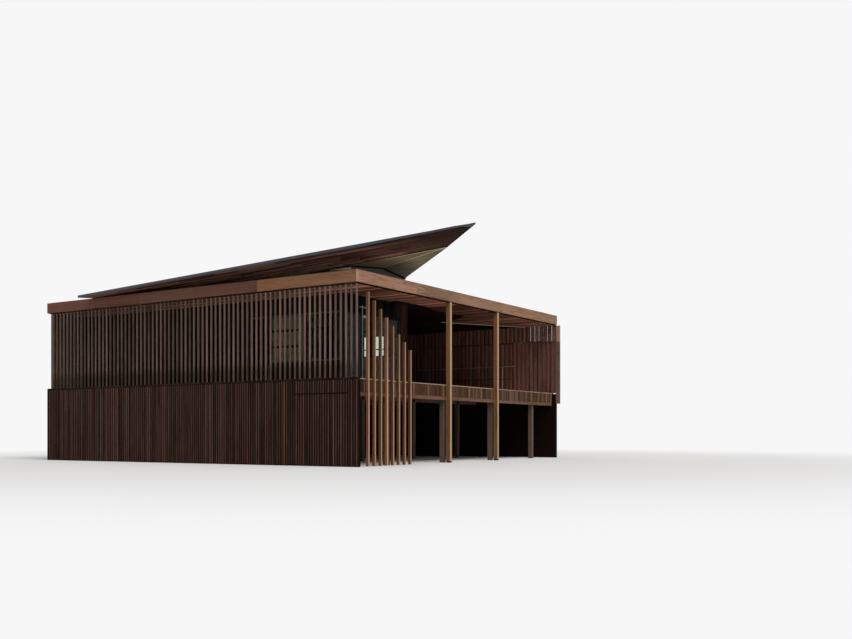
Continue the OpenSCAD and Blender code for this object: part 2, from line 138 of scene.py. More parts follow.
class Boards:
    """Gathers solids into one mesh. Each solid has a stain of its own and a finish by number."""

    def __init__(self, seed):
        self.dice = random.Random(seed)
        self.points, self.faces, self.stains, self.finishes = [], [], [], []

    def solid(self, points, faces, stain, finish=0):
        start = len(self.points)
        self.points += points
        self.faces += [[start + i for i in face] for face in faces]
        grain = self.dice.random()
        self.stains += [(*stain, grain)] * len(faces)
        self.finishes += [finish] * len(faces)

    def box(self, low, high, stain, ease=0.003, finish=0):
        a, b = at(high[0], low[1], low[2]), at(low[0], high[1], high[2])
        ease = min([ease] + [0.35 * (b[i] - a[i]) for i in range(3)])
        points = []
        for n in range(24):
            corner, side = n // 3, n % 3
            ends = (corner >> 2 & 1, corner >> 1 & 1, corner & 1)
            point = []
            for i in range(3):
                inset = 0 if i == side else ease
                point.append(b[i] - inset if ends[i] else a[i] + inset)
            points.append(point)
        self.solid(points, EASED, stain, finish)

    def wall_box(self, run, low, high, *look):
        """A box in a wall that runs by u or by v. Its corners are (along the wall, deep in it, z)."""
        if run == "v":
            low, high = (low[1], low[0], low[2]), (high[1], high[0], high[2])
        self.box(low, high, *look)

    def rings(self, low, high, stain, finish):
        """A solid between two rings of points in the shared frame."""
        n = len(low)
        points = low + high
        middle = [sum(p[i] for p in points) / len(points) for i in range(3)]
        faces = [list(range(n)), list(range(n, 2 * n))]
        faces += [[i, (i + 1) % n, n + (i + 1) % n, n + i] for i in range(n)]
        self.solid(points, [outward(face, points, middle) for face in faces], stain, finish)

    def prism(self, low, high, stain, finish=0):
        """A solid between two rings of (u, v, z) points."""
        self.rings([at(*p) for p in low], [at(*p) for p in high], stain, finish)

    def bolt(self, low, high, radius, sides=6):
        """The dark round head of a bolt or a nail, between two points on its middle line."""
        a, b = at(*low), at(*high)
        axis = max(range(3), key=lambda i: abs(b[i] - a[i]))
        p, q = [i for i in range(3) if i != axis]
        rings = []
        for end in (a, b):
            ring = [list(end) for _ in range(sides)]
            for k, point in enumerate(ring):
                point[p] += radius * math.cos(math.tau * k / sides)
                point[q] += radius * math.sin(math.tau * k / sides)
            rings.append(ring)
        self.rings(rings[0], rings[1], SHADOW, 1)

    def lengths(self, start, stop, short, long, least, cut=math.inf):
        """Boards laid end to end, of chance length. One that would leave less than least runs to the stop, and
        one that would pass the cut ends there."""
        while start < stop - 0.01:
            length = self.dice.uniform(short, long)
            ahead = stop if stop - start - length < least else start + length
            if start < cut - 0.01 < ahead:
                ahead = cut
            yield start, ahead
            start = ahead

    def piece(self, name, slot, finishes, nodes=()):
        mesh = bpy.data.meshes.new(name)
        mesh.from_pydata(self.points, [], self.faces)
        stain = mesh.attributes.new("stain", "FLOAT_COLOR", "CORNER")
        colours = []
        for face, colour in zip(self.faces, self.stains):
            colours += list(colour) * len(face)
        stain.data.foreach_set("color", colours)
        for finish in finishes:
            mesh.materials.append(finish)
        mesh.polygons.foreach_set("material_index", self.finishes)
        mesh.update()
        made = bpy.data.objects.new(name, mesh)
        bpy.context.scene.collection.objects.link(made)
        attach(made, "root")
        if nodes:
            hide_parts(*nodes)

    def pick(self, colour, spread=0.25, hue=0.06):
        """A stain near a colour, lighter or darker by chance."""
        level = 1 + self.dice.uniform(-spread, spread)
        return tuple(c * level * (1 + self.dice.uniform(-hue, hue)) for c in colour)


# Shader making

class Wire:
    """A value socket that adds its Math nodes as it is used in sums."""

    def __init__(self, look, socket):
        self.look, self.socket = look, socket

    def _math(self, operation, *values, clamp=False):
        return self.look.node("ShaderNodeMath", {"operation": operation, "use_clamp": clamp}, values)

    def __add__(self, other): return self._math("ADD", self, other)
    def __radd__(self, other): return self._math("ADD", other, self)
    def __sub__(self, other): return self._math("SUBTRACT", self, other)
    def __rsub__(self, other): return self._math("SUBTRACT", other, self)
    def __mul__(self, other): return self._math("MULTIPLY", self, other)
    def __rmul__(self, other): return self._math("MULTIPLY", other, self)
    def __truediv__(self, other): return self._math("DIVIDE", self, other)
    def clamp(self): return self._math("ADD", self, 0, clamp=True)


class Nodes:
    """Adds nodes to one tree: its kind, its settings first, then its sockets' values or links."""

    def __init__(self, tree):
        self.tree = tree

    def node(self, kind, settings=None, values=(), out=0):
        made = self.tree.nodes.new(kind)
        for key, value in (settings or {}).items():
            setattr(made, key, value)
        pairs = values.items() if isinstance(values, dict) else enumerate(values)
        for key, value in pairs:
            if isinstance(value, Wire):
                self.tree.links.new(value.socket, made.inputs[key])
            else:
                made.inputs[key].default_value = value
        return None if out is None else Wire(self, made.outputs[out])


class Look(Nodes):
    """A material and the nodes in it."""

    def __init__(self, name, **shader):
        self.material = bpy.data.materials.new(name)
        self.material.use_nodes = True
        super().__init__(self.material.node_tree)
        self.shader = self.tree.nodes["Principled BSDF"]
        for socket, value in shader.items():
            self.set(socket.replace("_", " "), value)

    def set(self, name, value):
        socket = self.shader.inputs[name]
        if isinstance(value, Wire):
            self.tree.links.new(value.socket, socket)
        else:
            socket.default_value = value

    def place(self, scale=(1, 1, 1), shift=None):
        """Where the surface is, scaled. A shift of its own gives each board another stretch of the pattern."""
        spot = self.node("ShaderNodeTexCoord", out=3)
        spot = self.node("ShaderNodeVectorMath", {"operation": "MULTIPLY"}, (spot, scale))
        if shift is not None:
            spread = self.node("ShaderNodeCombineXYZ", None, (shift * 31, shift * 17, shift * 53))
            spot = self.node("ShaderNodeVectorMath", {"operation": "ADD"}, (spot, spread))
        return spot

    def noise(self, spot, detail=4.0, rough=0.55):
        return self.node("ShaderNodeTexNoise", None,
                         {"Vector": spot, "Scale": 1.0, "Detail": detail, "Roughness": rough})

    def mix(self, share, one, two):
        """Between two colours. Sockets 0, 6 and 7 take the share and the colours, and 2 gives the result."""
        return self.node("ShaderNodeMix", {"data_type": "RGBA"}, {0: share, 6: one, 7: two}, out=2)

    def tint(self, colour, level):
        colour = colour if isinstance(colour, Wire) else colour[:3]
        return self.node("ShaderNodeVectorMath", {"operation": "SCALE"}, {0: colour, 3: level})

    def bump(self, height, strength, depth):
        made = self.node("ShaderNodeBump", None, {"Height": height, "Strength": strength, "Distance": depth})
        self.set("Normal", made)

    def faded(self, colour, fade):
        """A darker colour along one axis: (axis, where it starts, where it ends, level left there)."""
        axis, start, end, left = fade
        spot = self.node("ShaderNodeSeparateXYZ", None, (self.place(),), out="xyz".index(axis))
        return self.tint(colour, 1 - (1 - left) * ((spot - start) / (end - start)).clamp())

    def sun_side_share(self):
        """How far the surface turns to the deck side, where the sun comes from. It masks the painted sunlight.
        """
        normal = self.node("ShaderNodeNewGeometry", out=1)
        return (self.node("ShaderNodeSeparateXYZ", None, (normal,), out=0) * 1.1).clamp()


def rgba(colour):
    return (*colour, 1)


SILVERED = (0.30, 0.27, 0.25)
# Painted light: the pale tone that faces turned to the sun are painted towards
PAINTED_SUNLIT_TONE = (0.62, 0.46, 0.30)


def timber(name, along, stain=None, rough=0.7, contrast=0.7, grey=0.2, painted_sunlight=0.0, spread=46, gloss=0.02,
           knots=0.0, fade=None):
    """Sawn or dressed boards. The grain runs along an axis and repeats spread times a metre across it. stain is
    a colour, or None for each board's own. grey and knots say how far each has gone, from 0 to 1, and the share
    after grey paints the faces turned to the sun paler, as painted sunlight."""
    look = Look(name, Specular_IOR_Level=gloss)
    lengthwise = "xyz".index(along)
    scale = [spread] * 3
    scale[lengthwise] = 2.2
    if stain is None:
        grain = look.node("ShaderNodeAttribute", {"attribute_name": "stain"}, out=3)
        colour = look.node("ShaderNodeAttribute", {"attribute_name": "stain"}, out=0)
    else:
        grain = look.noise(look.place((1.7, 1.7, 0.1)), 0.0)
        colour = rgba(stain)
    fibre = look.noise(look.place(scale, grain), 6.0, 0.62)
    slow = look.noise(look.place([0.16 * s for s in scale], grain), 3.0)
    level = 1 + contrast * (fibre - 0.5) * 2.2 + contrast * (slow - 0.5) * 1.6
    shaded = look.tint(colour, level.clamp() + (level - 1) * 0.5)
    weather = ((look.noise(look.place((1.1, 1.1, 0.8), grain), 3.0) - 0.42) * 2.4 * grey).clamp()
    silver = look.tint(look.mix(0.55, colour, rgba(SILVERED)), 0.55 + 0.5 * fibre)
    shaded = look.mix(weather, shaded, silver)
    if knots:
        stretch = [5.5] * 3
        stretch[lengthwise] = 1.3
        cell = look.node("ShaderNodeTexVoronoi", None, {"Vector": look.place(stretch, grain), "Scale": 1.0})
        knot = ((0.17 - cell) * 11 + (fibre - 0.5) * 1.5).clamp() * knots
        shaded = look.mix(knot, shaded, look.tint(colour, 0.34))
    if fade:
        shaded = look.faded(shaded, fade)
    # Painted light: faces turned to the sun are painted paler, as if sunlit
    if painted_sunlight:
        shaded = look.mix(look.sun_side_share() * painted_sunlight, shaded, look.tint(look.mix(0.35, shaded, rgba(PAINTED_SUNLIT_TONE)), 1.7))
    look.set("Base Color", shaded)
    look.set("Roughness", (rough + 0.18 * (slow - 0.5) + 0.12 * (fibre - 0.5)).clamp())
    look.bump(fibre, 0.35, 0.003)
    return look.material


def metal(name, colour, rough=0.5, streak=0.25, metallic=0.2, gloss=0.3):
    """Coated metal. Its colour drifts down the surface by as much as streak says."""
    look = Look(name, Metallic=metallic, Specular_IOR_Level=gloss)
    drift = look.noise(look.place((1.6, 1.6, 0.35)))
    fine = look.noise(look.place((38, 38, 9)), 3.0)
    level = 1 + streak * (drift - 0.5) * 2 + 0.1 * (fine - 0.5)
    look.set("Base Color", look.tint(colour, level))
    look.set("Roughness", (rough + 0.25 * (drift - 0.5) + 0.08 * (fine - 0.5)).clamp())
    look.bump(drift, 0.06, 0.004)
    return look.material


def sheet_panel(name, colour, fade=None, mottle=0.16):
    """Painted sheet with a soft unevenness and faint dust."""
    look = Look(name, Specular_IOR_Level=0.3)
    cloud = look.noise(look.place((0.9, 0.9, 0.9)), 5.0, 0.6)
    speck = look.noise(look.place((60, 60, 60)), 2.0)
    level = 1 + mottle * (cloud - 0.5) * 2 + 0.08 * (speck - 0.5)
    shade = look.tint(colour, level)
    look.set("Base Color", look.faded(shade, fade) if fade else shade)
    look.set("Roughness", (0.62 + 0.15 * (cloud - 0.5)).clamp())
    look.bump(speck, 0.08, 0.001)
    return look.material


def pane(name, colour):
    """Clear glass with a thin film of dust."""
    look = Look(name, Transmission_Weight=1.0, IOR=1.12, Roughness=0.01)
    dust = look.noise(look.place((2.5, 2.5, 1.2)))
    look.set("Base Color", look.tint(colour, 0.94 + 0.06 * dust))
    return look.material


def framing(name, along):
    return timber(name, along, stain=(0.12, 0.08, 0.055), rough=0.75, grey=0.4)


def fascia_wood(name, along, contrast=0.45, grey=0.08, spread=34, **more):
    return timber(name, along, rough=0.55, contrast=contrast, grey=grey, spread=spread, gloss=0.05, **more)


# A fade is (axis, where it starts, where it ends, level left there), in the frame's own X, Y and Z
UPRIGHT = timber("boards_upright", "z")
FRONT_GRAIN = timber("boards_along_front", "x")
DECK_GRAIN = timber("boards_along_deck_side", "y")
# Painted shade: the battens darken towards their feet
BATTEN_WOOD = timber("batten_timber", "z", fade=("z", FLOOR + 0.55, FLOOR + 0.3, 0.5))
# Posts and fins carry painted sunlight on the faces turned to the deck side
POST_WOOD = timber("post_timber", "z", rough=0.55, contrast=0.55, grey=0.05, painted_sunlight=0.5, gloss=0.05)
FASCIA_WOOD = fascia_wood("fascia_timber_front", "x")
FASCIA_CROSS_WOOD = fascia_wood("fascia_timber_left", "y")
# Painted light on the deck fascia: full stain by the corner, under the wing's shade, and darker from v 3.6 on
FASCIA_DECK_PAINTED_LIGHT_WOOD = fascia_wood("fascia_timber_deck_painted_light", "y", 0.6, 0.12, 30, knots=0.8,
                               fade=("y", CORNER_Y + 2.2, CORNER_Y + 3.6, 0.42))
# Painted shade: the soffit darkens as it runs in from the deck side
SOFFIT_WOOD = timber("soffit_timber", "x", rough=0.6, contrast=0.75, grey=0.06, spread=22,
                     fade=("x", CORNER_X - 0.5, CORNER_X - 2.4, 0.8))
# Painted shade: the wing's lining darkens towards the tip
LINING_WOOD = timber("wing_lining_timber", "x", rough=0.6, contrast=0.6, grey=0.1, spread=26,
                     fade=("x", CORNER_X - 1.2, CORNER_X + 2.1, 0.31))
# Painted shade: the near-black core seen in the gaps between the base boards
BACKING_PAINTED_SHADE = timber("backing_painted_shade", "z", stain=(0.010, 0.005, 0.004), rough=0.9, grey=0.0)
FRAMING = framing("framing_timber", "z")
FRAMING_LEVEL = framing("framing_timber_level", "x")
FRAMING_CROSS = framing("framing_timber_cross", "y")
PLY = timber("pale_ply", "z", rough=0.5, contrast=0.3, grey=0.0, spread=20)
ROOF_METAL = metal("roof_metal", (0.105, 0.12, 0.14))
SHEET_METAL = metal("flat_roof_metal", (0.20, 0.215, 0.23))
EDGE_METAL = metal("edge_metal", (0.052, 0.058, 0.070))
# Near-black matt: the dark metal of bolts, caps and frames, and also the painted shade of gaps and strips
DARK_METAL_AND_SHADE = metal("dark_metal_and_painted_shade", (0.014, 0.009, 0.007), rough=0.95, metallic=0.0, gloss=0.0)
GREY_METAL = metal("window_grey", (0.12, 0.125, 0.12), rough=0.45, streak=0.12)
FRAME_METAL = metal("window_frame", (0.062, 0.064, 0.050), rough=0.6, streak=0.12, metallic=0.0, gloss=0.1)
STILE_DARK = metal("wide_stile", (0.030, 0.031, 0.030), rough=0.6, metallic=0.0, gloss=0.02)
PALE_METAL = metal("pale_trim", (0.42, 0.38, 0.35), streak=0.15)
RAIL_METAL = metal("rail_metal", (0.20, 0.20, 0.17), rough=0.4)
FLASHING = metal("pale_flashing", (0.80, 0.79, 0.78), streak=0.1, metallic=0.0)
# One olive paint in two copies: the upper panel painted lighter and the lower darker, as painted light and
# shade on the two sides of the fold. Each also darkens towards the tip.
OLIVE_PAINTED_SHADED = sheet_panel("olive_panel", (0.32, 0.250, 0.150), ("x", CORNER_X + 0.2, CORNER_X + 1.2, 0.52))
OLIVE_PAINTED_LIT = sheet_panel("olive_panel_painted_lit", (0.48, 0.345, 0.168),
                          ("x", CORNER_X - 1.1, CORNER_X + 0.4, 0.46))
END_GREY = sheet_panel("clerestory_panel", (0.12, 0.11, 0.105), mottle=0.3)
INNER = sheet_panel("inner_lining", (0.090, 0.058, 0.040))
FOLD_TRIM = sheet_panel("fold_trim", (0.62, 0.58, 0.40), mottle=0.1)
GLASS_EDGE = sheet_panel("glass_edge", (0.21, 0.26, 0.22), mottle=0.1)
GLASS = pane("clear_glass", (0.74, 0.82, 0.78))

# Stains, as the boards show them
BASE_STAIN = (0.056, 0.027, 0.020)
BASE_PALE = (0.094, 0.050, 0.037)
HATCH_STAIN = (0.105, 0.042, 0.018)
BATTEN_NEAR = (0.122, 0.083, 0.070)
BATTEN_FAR = (0.122, 0.079, 0.061)
RAIL_STAIN = (0.020, 0.010, 0.007)
POST_STAIN = (0.215, 0.110, 0.055)
FIN_STAIN = (0.180, 0.080, 0.042)
FASCIA_TAN = (0.264, 0.131, 0.071)
FASCIA_ORANGE = (0.268, 0.126, 0.061)
FASCIA_RED = (0.144, 0.065, 0.042)
# The deck fascia's stain is raised as painted light, and its fade takes it down along the deck
FASCIA_SIDE = (0.555, 0.315, 0.200)
SOFFIT_LIGHT = (0.60, 0.27, 0.178)
SOFFIT_DARK = (0.035, 0.013, 0.009)
CEILING_STAIN = (0.012, 0.007, 0.006)
LINING_TONES = ((0.44, 0.19, 0.125), (0.18, 0.08, 0.08), (0.55, 0.31, 0.20), (0.10, 0.04, 0.036))
WALL_STAIN = (0.025, 0.0126, 0.0084)
FRONT_WALL_STAIN = (0.011, 0.0054, 0.0035)
# Painted shade: the room's side wall under the deck roof, stained near black
SIDE_WALL_PAINTED_SHADE = (0.0022, 0.0012, 0.0010)
END_BATTEN = (0.180, 0.084, 0.060)
END_BOARD = (0.130, 0.058, 0.042)
UPPER_BATTEN = (0.225, 0.108, 0.078)
UPPER_BOARD = (0.100, 0.044, 0.033)
END_RAIL_DARK, END_RAIL_PALE = (0.085, 0.066, 0.043), (0.170, 0.148, 0.096)
END_POST_STAIN, END_POST_PALE = (0.17, 0.107, 0.078), (0.34, 0.22, 0.165)
PIER_STAIN = (0.034, 0.0125, 0.0095)
SKIRT_STAIN = (0.067, 0.032, 0.018)
SKIRT_PALE = (0.132, 0.078, 0.048)
LEDGER_STAIN = (0.130, 0.070, 0.042)
DECK_STAIN = (0.36, 0.26, 0.19)
ROOM_FLOOR_STAIN = (0.22, 0.13, 0.075)
PLY_STAIN = (0.2208, 0.1488, 0.1024)
SLOT_STAIN = (0.026, 0.009, 0.002)
HEAD_TRIM_STAIN = (0.11, 0.07, 0.05)
SHADOW = (0.010, 0.007, 0.006)
PLAIN = (0.1, 0.1, 0.1)  # for metal and sheet, which have colours of their own


# Boarded base

def base_wall(name, node, run, depth, face_first, start, end, top, seed, hatch=None):
    """Upright boards on a core painted near black, as the shade in the gaps between them. run is the plan
    direction that the wall follows, and hatch says where the hatch starts and ends and where its own paler
    board is."""
    made = Boards(seed)
    board_t, width, pitch = 0.012, 0.045, 0.0883
    cut_low, cut_high = 1.995, 2.033
    inner = (depth[0] + board_t, depth[1]) if face_first else (depth[0], depth[1] - board_t)
    outer = (depth[0], depth[0] + board_t) if face_first else (depth[1] - board_t, depth[1])
    made.wall_box(run, (start, inner[0], 0), (end, inner[1], top), SHADOW, 0.0, 1)
    for place in every(pitch, start, end - 0.02):
        stop = min(place + width, end)
        sink = made.dice.uniform(0, 0.003)
        near = (outer[0] + sink, outer[1]) if face_first else (outer[0], outer[1] - sink)
        stain = made.pick(BASE_STAIN, 0.42, 0.1)
        if made.dice.random() < 0.16:
            stain = made.pick(BASE_PALE, 0.2)
        if hatch and hatch[2] < place < hatch[2] + pitch:
            stain, stop = HATCH_STAIN, place + 0.056
        foot = made.dice.uniform(0.012, 0.03)
        if hatch and hatch[0] < place < hatch[1]:
            made.wall_box(run, (place, near[0], foot), (stop, near[1], cut_low), stain)
            made.wall_box(run, (place, near[0], cut_high), (stop, near[1], top), made.pick(stain, 0.15))
        else:
            made.wall_box(run, (place, near[0], foot), (stop, near[1], top), stain)
    made.piece(name, "base_boards", [UPRIGHT, BACKING_PAINTED_SHADE], [node])


base_wall("front_base_boards", "base_wall_front", "u", (0, BASE_T), True, 0, HOUSE_L, BASE_TOP, 11,
          hatch=(0.32, 2.18, 2.56))
base_wall("left_base_boards", "base_wall_left", "v", (HOUSE_L - BASE_T, HOUSE_L), False,
          BASE_T, HOUSE_W, FLOOR - 0.03, 12)
base_wall("back_base_boards", "base_wall_back", "u", (HOUSE_W - BASE_T, HOUSE_W), False,
          0, HOUSE_L - BASE_T, FLOOR - 0.03, 13)

# Slatted front
BATTEN_W, BATTEN_T, BATTEN_PITCH, BATTEN_START = 0.048, 0.045, 0.181, 0.006
BAY_START, BAY_END = 0.017, 0.089
BATTEN_COUNT = int((HOUSE_L - BAY_START) / BATTEN_PITCH)
BAY = math.ceil(BATTEN_COUNT / 3)
BATTEN_HEAD = SOFFIT - 0.026
NEAR_BATTENS = 5
for bay in range(3):
    screen = Boards(21 + bay)
    first, last = bay * BAY, min((bay + 1) * BAY, BATTEN_COUNT) - 1
    for i in range(first, last + 1):
        u = BATTEN_START + i * BATTEN_PITCH + screen.dice.uniform(-0.002, 0.002)
        tone, level = (BATTEN_NEAR, 1.3) if i < NEAR_BATTENS else (BATTEN_FAR, max(0.95, 1.7 - 0.02 * i))
        stain = screen.pick([level * c for c in tone], 0.24, 0.05)
        sink = screen.dice.uniform(0, 0.002)
        screen.box((u, sink, RAIL_TOP), (u + BATTEN_W, BATTEN_T, BATTEN_HEAD), stain, 0.004)
        for z in (SOFFIT - 0.045, RAIL_TOP + 0.05):
            screen.bolt((u + BATTEN_W / 2, 0.0022, z), (u + BATTEN_W / 2, 0.006, z), 0.006, 8)
    low, high = BAY_START + first * BATTEN_PITCH, BAY_END + last * BATTEN_PITCH
    # Painted shade: a dark strip behind the batten heads, under the fascia
    screen.box((low, 0.012, BATTEN_HEAD), (high, BATTEN_T, SOFFIT), SHADOW, 0.002, 1)
    screen.box((low, BATTEN_T, SOFFIT - 0.06), (high, BATTEN_T + 0.03, SOFFIT), HEAD_TRIM_STAIN)
    screen.piece(f"front_battens_{bay + 1}", "batten_timber", [BATTEN_WOOD, DARK_METAL_AND_SHADE],
                 [f"screen_bay_{bay + 1}"])

rail = Boards(31)
RAIL_LOW = BASE_TOP + 0.016
for start, stop in rail.lengths(0.0, HOUSE_L, 2.4, 3.9, 0.8):
    stain = rail.pick(RAIL_STAIN, 0.15)
    rail.box((start, 0, RAIL_LOW), (stop - 0.003, BASE_T, RAIL_TOP), stain, 0.005)
    # Painted shade: a dark strip in the gap under the rail
    rail.box((start, 0.010, BASE_TOP), (stop - 0.003, BASE_T, RAIL_LOW), SHADOW, 0.001, 1)
rail.piece("front_rail", "batten_timber", [FRONT_GRAIN, DARK_METAL_AND_SHADE], ["screen_rail"])

# Fins and posts
FIN_START, FIN_PITCH, FIN_DROP, FIN_DEPTH = 0.60, 0.30, 0.210, 0.060
FIN_TOP = SOFFIT - 0.173
PALE_FINS = {0: 1.4, 3: 1.7}
fins = Boards(41)
for i in range(8):
    v = FIN_START + FIN_PITCH * i
    stain = tuple(PALE_FINS.get(i, 1.0) * c for c in fins.pick(FIN_STAIN, 0.16, 0.06))
    fins.box((0.06, v, 0.0), (DECK_EDGE, v + FIN_DEPTH, FIN_TOP - FIN_DROP * i), stain, 0.004)
    for z in (FLOOR - 0.10, FLOOR - 0.38):
        fins.bolt((0.058, v + FIN_DEPTH / 2, z), (0.064, v + FIN_DEPTH / 2, z), 0.010)
fins.piece("stepped_fin_posts", "post_timber", [POST_WOOD, DARK_METAL_AND_SHADE], ["stepped_fins"])

# The two posts stand in line with the middle rows of piers
PIER_ROWS = (1.825, 4.905, 7.985, 11.065)
posts = Boards(42)
for v in PIER_ROWS[1:3]:
    posts.box((0.0, v - 0.065, 0.04), (DECK_EDGE, v + 0.045, SOFFIT), posts.pick(POST_STAIN, 0.05), 0.005)
    posts.box((0.005, v - 0.060, 0.0), (DECK_EDGE - 0.005, v + 0.040, 0.04), SHADOW, 0.002, 1)
    for z in (FLOOR - 0.10, FLOOR - 0.42, SOFFIT - 0.06):
        posts.bolt((-0.002, v - 0.01, z), (0.006, v - 0.01, z), 0.013)
posts.piece("deck_post_pair", "post_timber", [POST_WOOD, DARK_METAL_AND_SHADE], ["deck_posts"])

# Deck edge: short upright boards, with a ledger of long boards and their bolts under them
edge = Boards(43)
SKIRT_LOW, SKIRT_HIGH = FLOOR - 0.375, FLOOR - 0.03
SKIRT_END = HOUSE_W - BASE_T
SKIRT_BOARD, SKIRT_PITCH = 0.083, 0.0885
LEDGER_LOW, LEDGER_LENGTH = FLOOR - 0.48, 3.08
for place in every(SKIRT_PITCH, BASE_T, SKIRT_END - 0.02):
    stop = min(place + SKIRT_BOARD, SKIRT_END)
    stain = edge.pick(SKIRT_STAIN, 0.4, 0.1)
    if edge.dice.random() < 0.2:
        stain = edge.pick(SKIRT_PALE, 0.15)
    if place < 1.5:
        shade = 0.3 + 0.46 * place
        stain = (stain[0] * (0.4 + 0.4 * place), stain[1] * shade, stain[2] * shade)
    edge.box((DECK_EDGE, place, SKIRT_LOW), (DECK_EDGE + 0.018, stop, SKIRT_HIGH), stain)
edge.box((DECK_EDGE + 0.019, BASE_T, SKIRT_LOW), (DECK_EDGE + 0.025, SKIRT_END, SKIRT_HIGH), SHADOW, 0.0, 1)
for place in every(LEDGER_LENGTH, BASE_T, SKIRT_END):
    stop = min(place + LEDGER_LENGTH, SKIRT_END)
    edge.box((DECK_EDGE, place, LEDGER_LOW), (DECK_EDGE + 0.05, stop - 0.002, SKIRT_LOW),
             edge.pick(LEDGER_STAIN, 0.1), 0.005, 2)
    for step in (1, 2, 3):
        v, z = place + LEDGER_LENGTH / 4 * step, FLOOR - 0.43
        if v < stop - 0.1:
            edge.bolt((DECK_EDGE - 0.004, v, z), (DECK_EDGE + 0.01, v, z), 0.011)
edge.piece("deck_edge_boards", "base_boards", [UPRIGHT, DARK_METAL_AND_SHADE, DECK_GRAIN], ["deck_skirt"])


# Floors

def floor_boards(runs, pitch, gap, seed, stain, spread, ease):
    """Boards that run from the front to the back, u by u. Each run is (low u, high u, start, stop)."""
    made = Boards(seed)
    for u in every(pitch, min(run[0] for run in runs), max(run[1] for run in runs) - 0.01):
        for low, high, start, stop in runs:
            if not low - 1e-6 <= u < high - 0.004:
                continue
            right = min(u + pitch - gap, high)
            for place, ahead in made.lengths(start, stop, 2.2, 4.8, 0.9):
                joint = 0.002 if ahead < stop else 0
                made.box((u, place, FLOOR - 0.024), (right, ahead - joint, FLOOR),
                         made.pick(stain, spread, 0.05), ease)
    return made


deck = floor_boards([(DECK_EDGE, ROOM_U, BASE_T, HOUSE_W), (ROOM_U, REAR_U, BASE_T, ROOM_V),
                     (ROOM_U, REAR_U, ROOM_BACK, HOUSE_W), (REAR_U, HOUSE_L, BASE_T, ROOM_V)],
                    0.0952, 0.0052, 51, DECK_STAIN, 0.2, 0.003)
deck.piece("deck_boards", "deck_boards", [DECK_GRAIN], ["deck_floor"])
rooms = floor_boards([(ROOM_U, HOUSE_L, ROOM_V, ROOM_BACK), (REAR_U, HOUSE_L, ROOM_BACK, HOUSE_W)],
                     0.140, 0.001, 52, ROOM_FLOOR_STAIN, 0.14, 0.001)
rooms.box((ROOM_U, ROOM_V, FLOOR - 0.03), (HOUSE_L, ROOM_BACK, FLOOR - 0.0245), SHADOW, 0.0)
rooms.box((REAR_U, ROOM_BACK, FLOOR - 0.03), (HOUSE_L, HOUSE_W, FLOOR - 0.0245), SHADOW, 0.0)
rooms.piece("room_boards", "deck_boards", [DECK_GRAIN], ["room_floor"])

# End wall: battens over recessed boards, low in the bay beside the rear rooms
END_T = 0.06
END_V = HOUSE_W - 0.05 - END_T
END_RAIL, LOW_RAIL = FLOOR + 1.94, FLOOR + 1.5
LOW_BAY = REAR_U - 1.5
END_PITCH, END_FIRST, BATTEN_END = 0.178, 0.103, 0.095
SLATS_END, SLATS_LOW = 2.32, END_RAIL + 0.05
END_POST = (-0.158, -0.002)


def end_wall_painted_light(u):
    """How pale the boards are painted, as painted light: palest a little way in from the open side, where the
    light comes in, and darker in the shade beyond.
    """
    return 0.95 + 0.55 * min(1.0, max(0.0, (u - 0.6) / 0.7)) - 0.4 * min(1.0, max(0.0, (u - 2.2) / 3.0))


def end_run(made, start, stop, low, high):
    """Battens on recessed boards between two places along the wall."""
    count = int((start - END_FIRST) / END_PITCH) - 1
    for u in every(END_PITCH, END_FIRST + count * END_PITCH, stop):
        a, b = max(u, start), min(u + BATTEN_END, stop)
        level = end_wall_painted_light(u)
        if b - a > 0.01:
            stain = tuple(level * c for c in made.pick(END_BATTEN, 0.22, 0.06))
            made.box((a, END_V, low), (b, END_V + END_T, high), stain, 0.004)
        a, b = max(u + BATTEN_END + 0.002, start), min(u + END_PITCH - 0.002, stop)
        if b - a > 0.01:
            stain = tuple(level * c for c in made.pick(END_BOARD, 0.3, 0.08))
            made.box((a, END_V + 0.020, low), (b, END_V + 0.044, high), stain, 0.002)
    made.box((start, END_V + 0.026, low), (stop, END_V + 0.038, high), SHADOW, 0.0)


end_boards = Boards(61)
end_run(end_boards, 0.0, LOW_BAY, FLOOR, END_RAIL)
end_run(end_boards, LOW_BAY, REAR_U, FLOOR, LOW_RAIL)
for low, high, stain in ((FLOOR - 0.4, END_RAIL, END_POST_STAIN),
                         (END_RAIL + 0.002, SOFFIT - 0.02, END_POST_PALE)):
    end_boards.box((END_POST[0], END_V - 0.004, low), (END_POST[1], END_V + END_T + 0.004, high), stain, 0.005)
end_boards.piece("end_wall_battens", "wall_boards", [UPRIGHT, DARK_METAL_AND_SHADE], ["end_wall_boards"])

end_top = Boards(62)
rail_ends = (0, 1.25, 1.8, 4.6, LOW_BAY, REAR_U)
for start, stop in zip(rail_ends, rail_ends[1:]):
    z = LOW_RAIL if start == LOW_BAY else END_RAIL
    end_top.box((start, END_V - 0.02, z), (stop - 0.002, END_V + 0.08, z + 0.05),
                end_top.pick(END_RAIL_PALE if start == 1.25 else END_RAIL_DARK, 0.1), 0.005, 1)
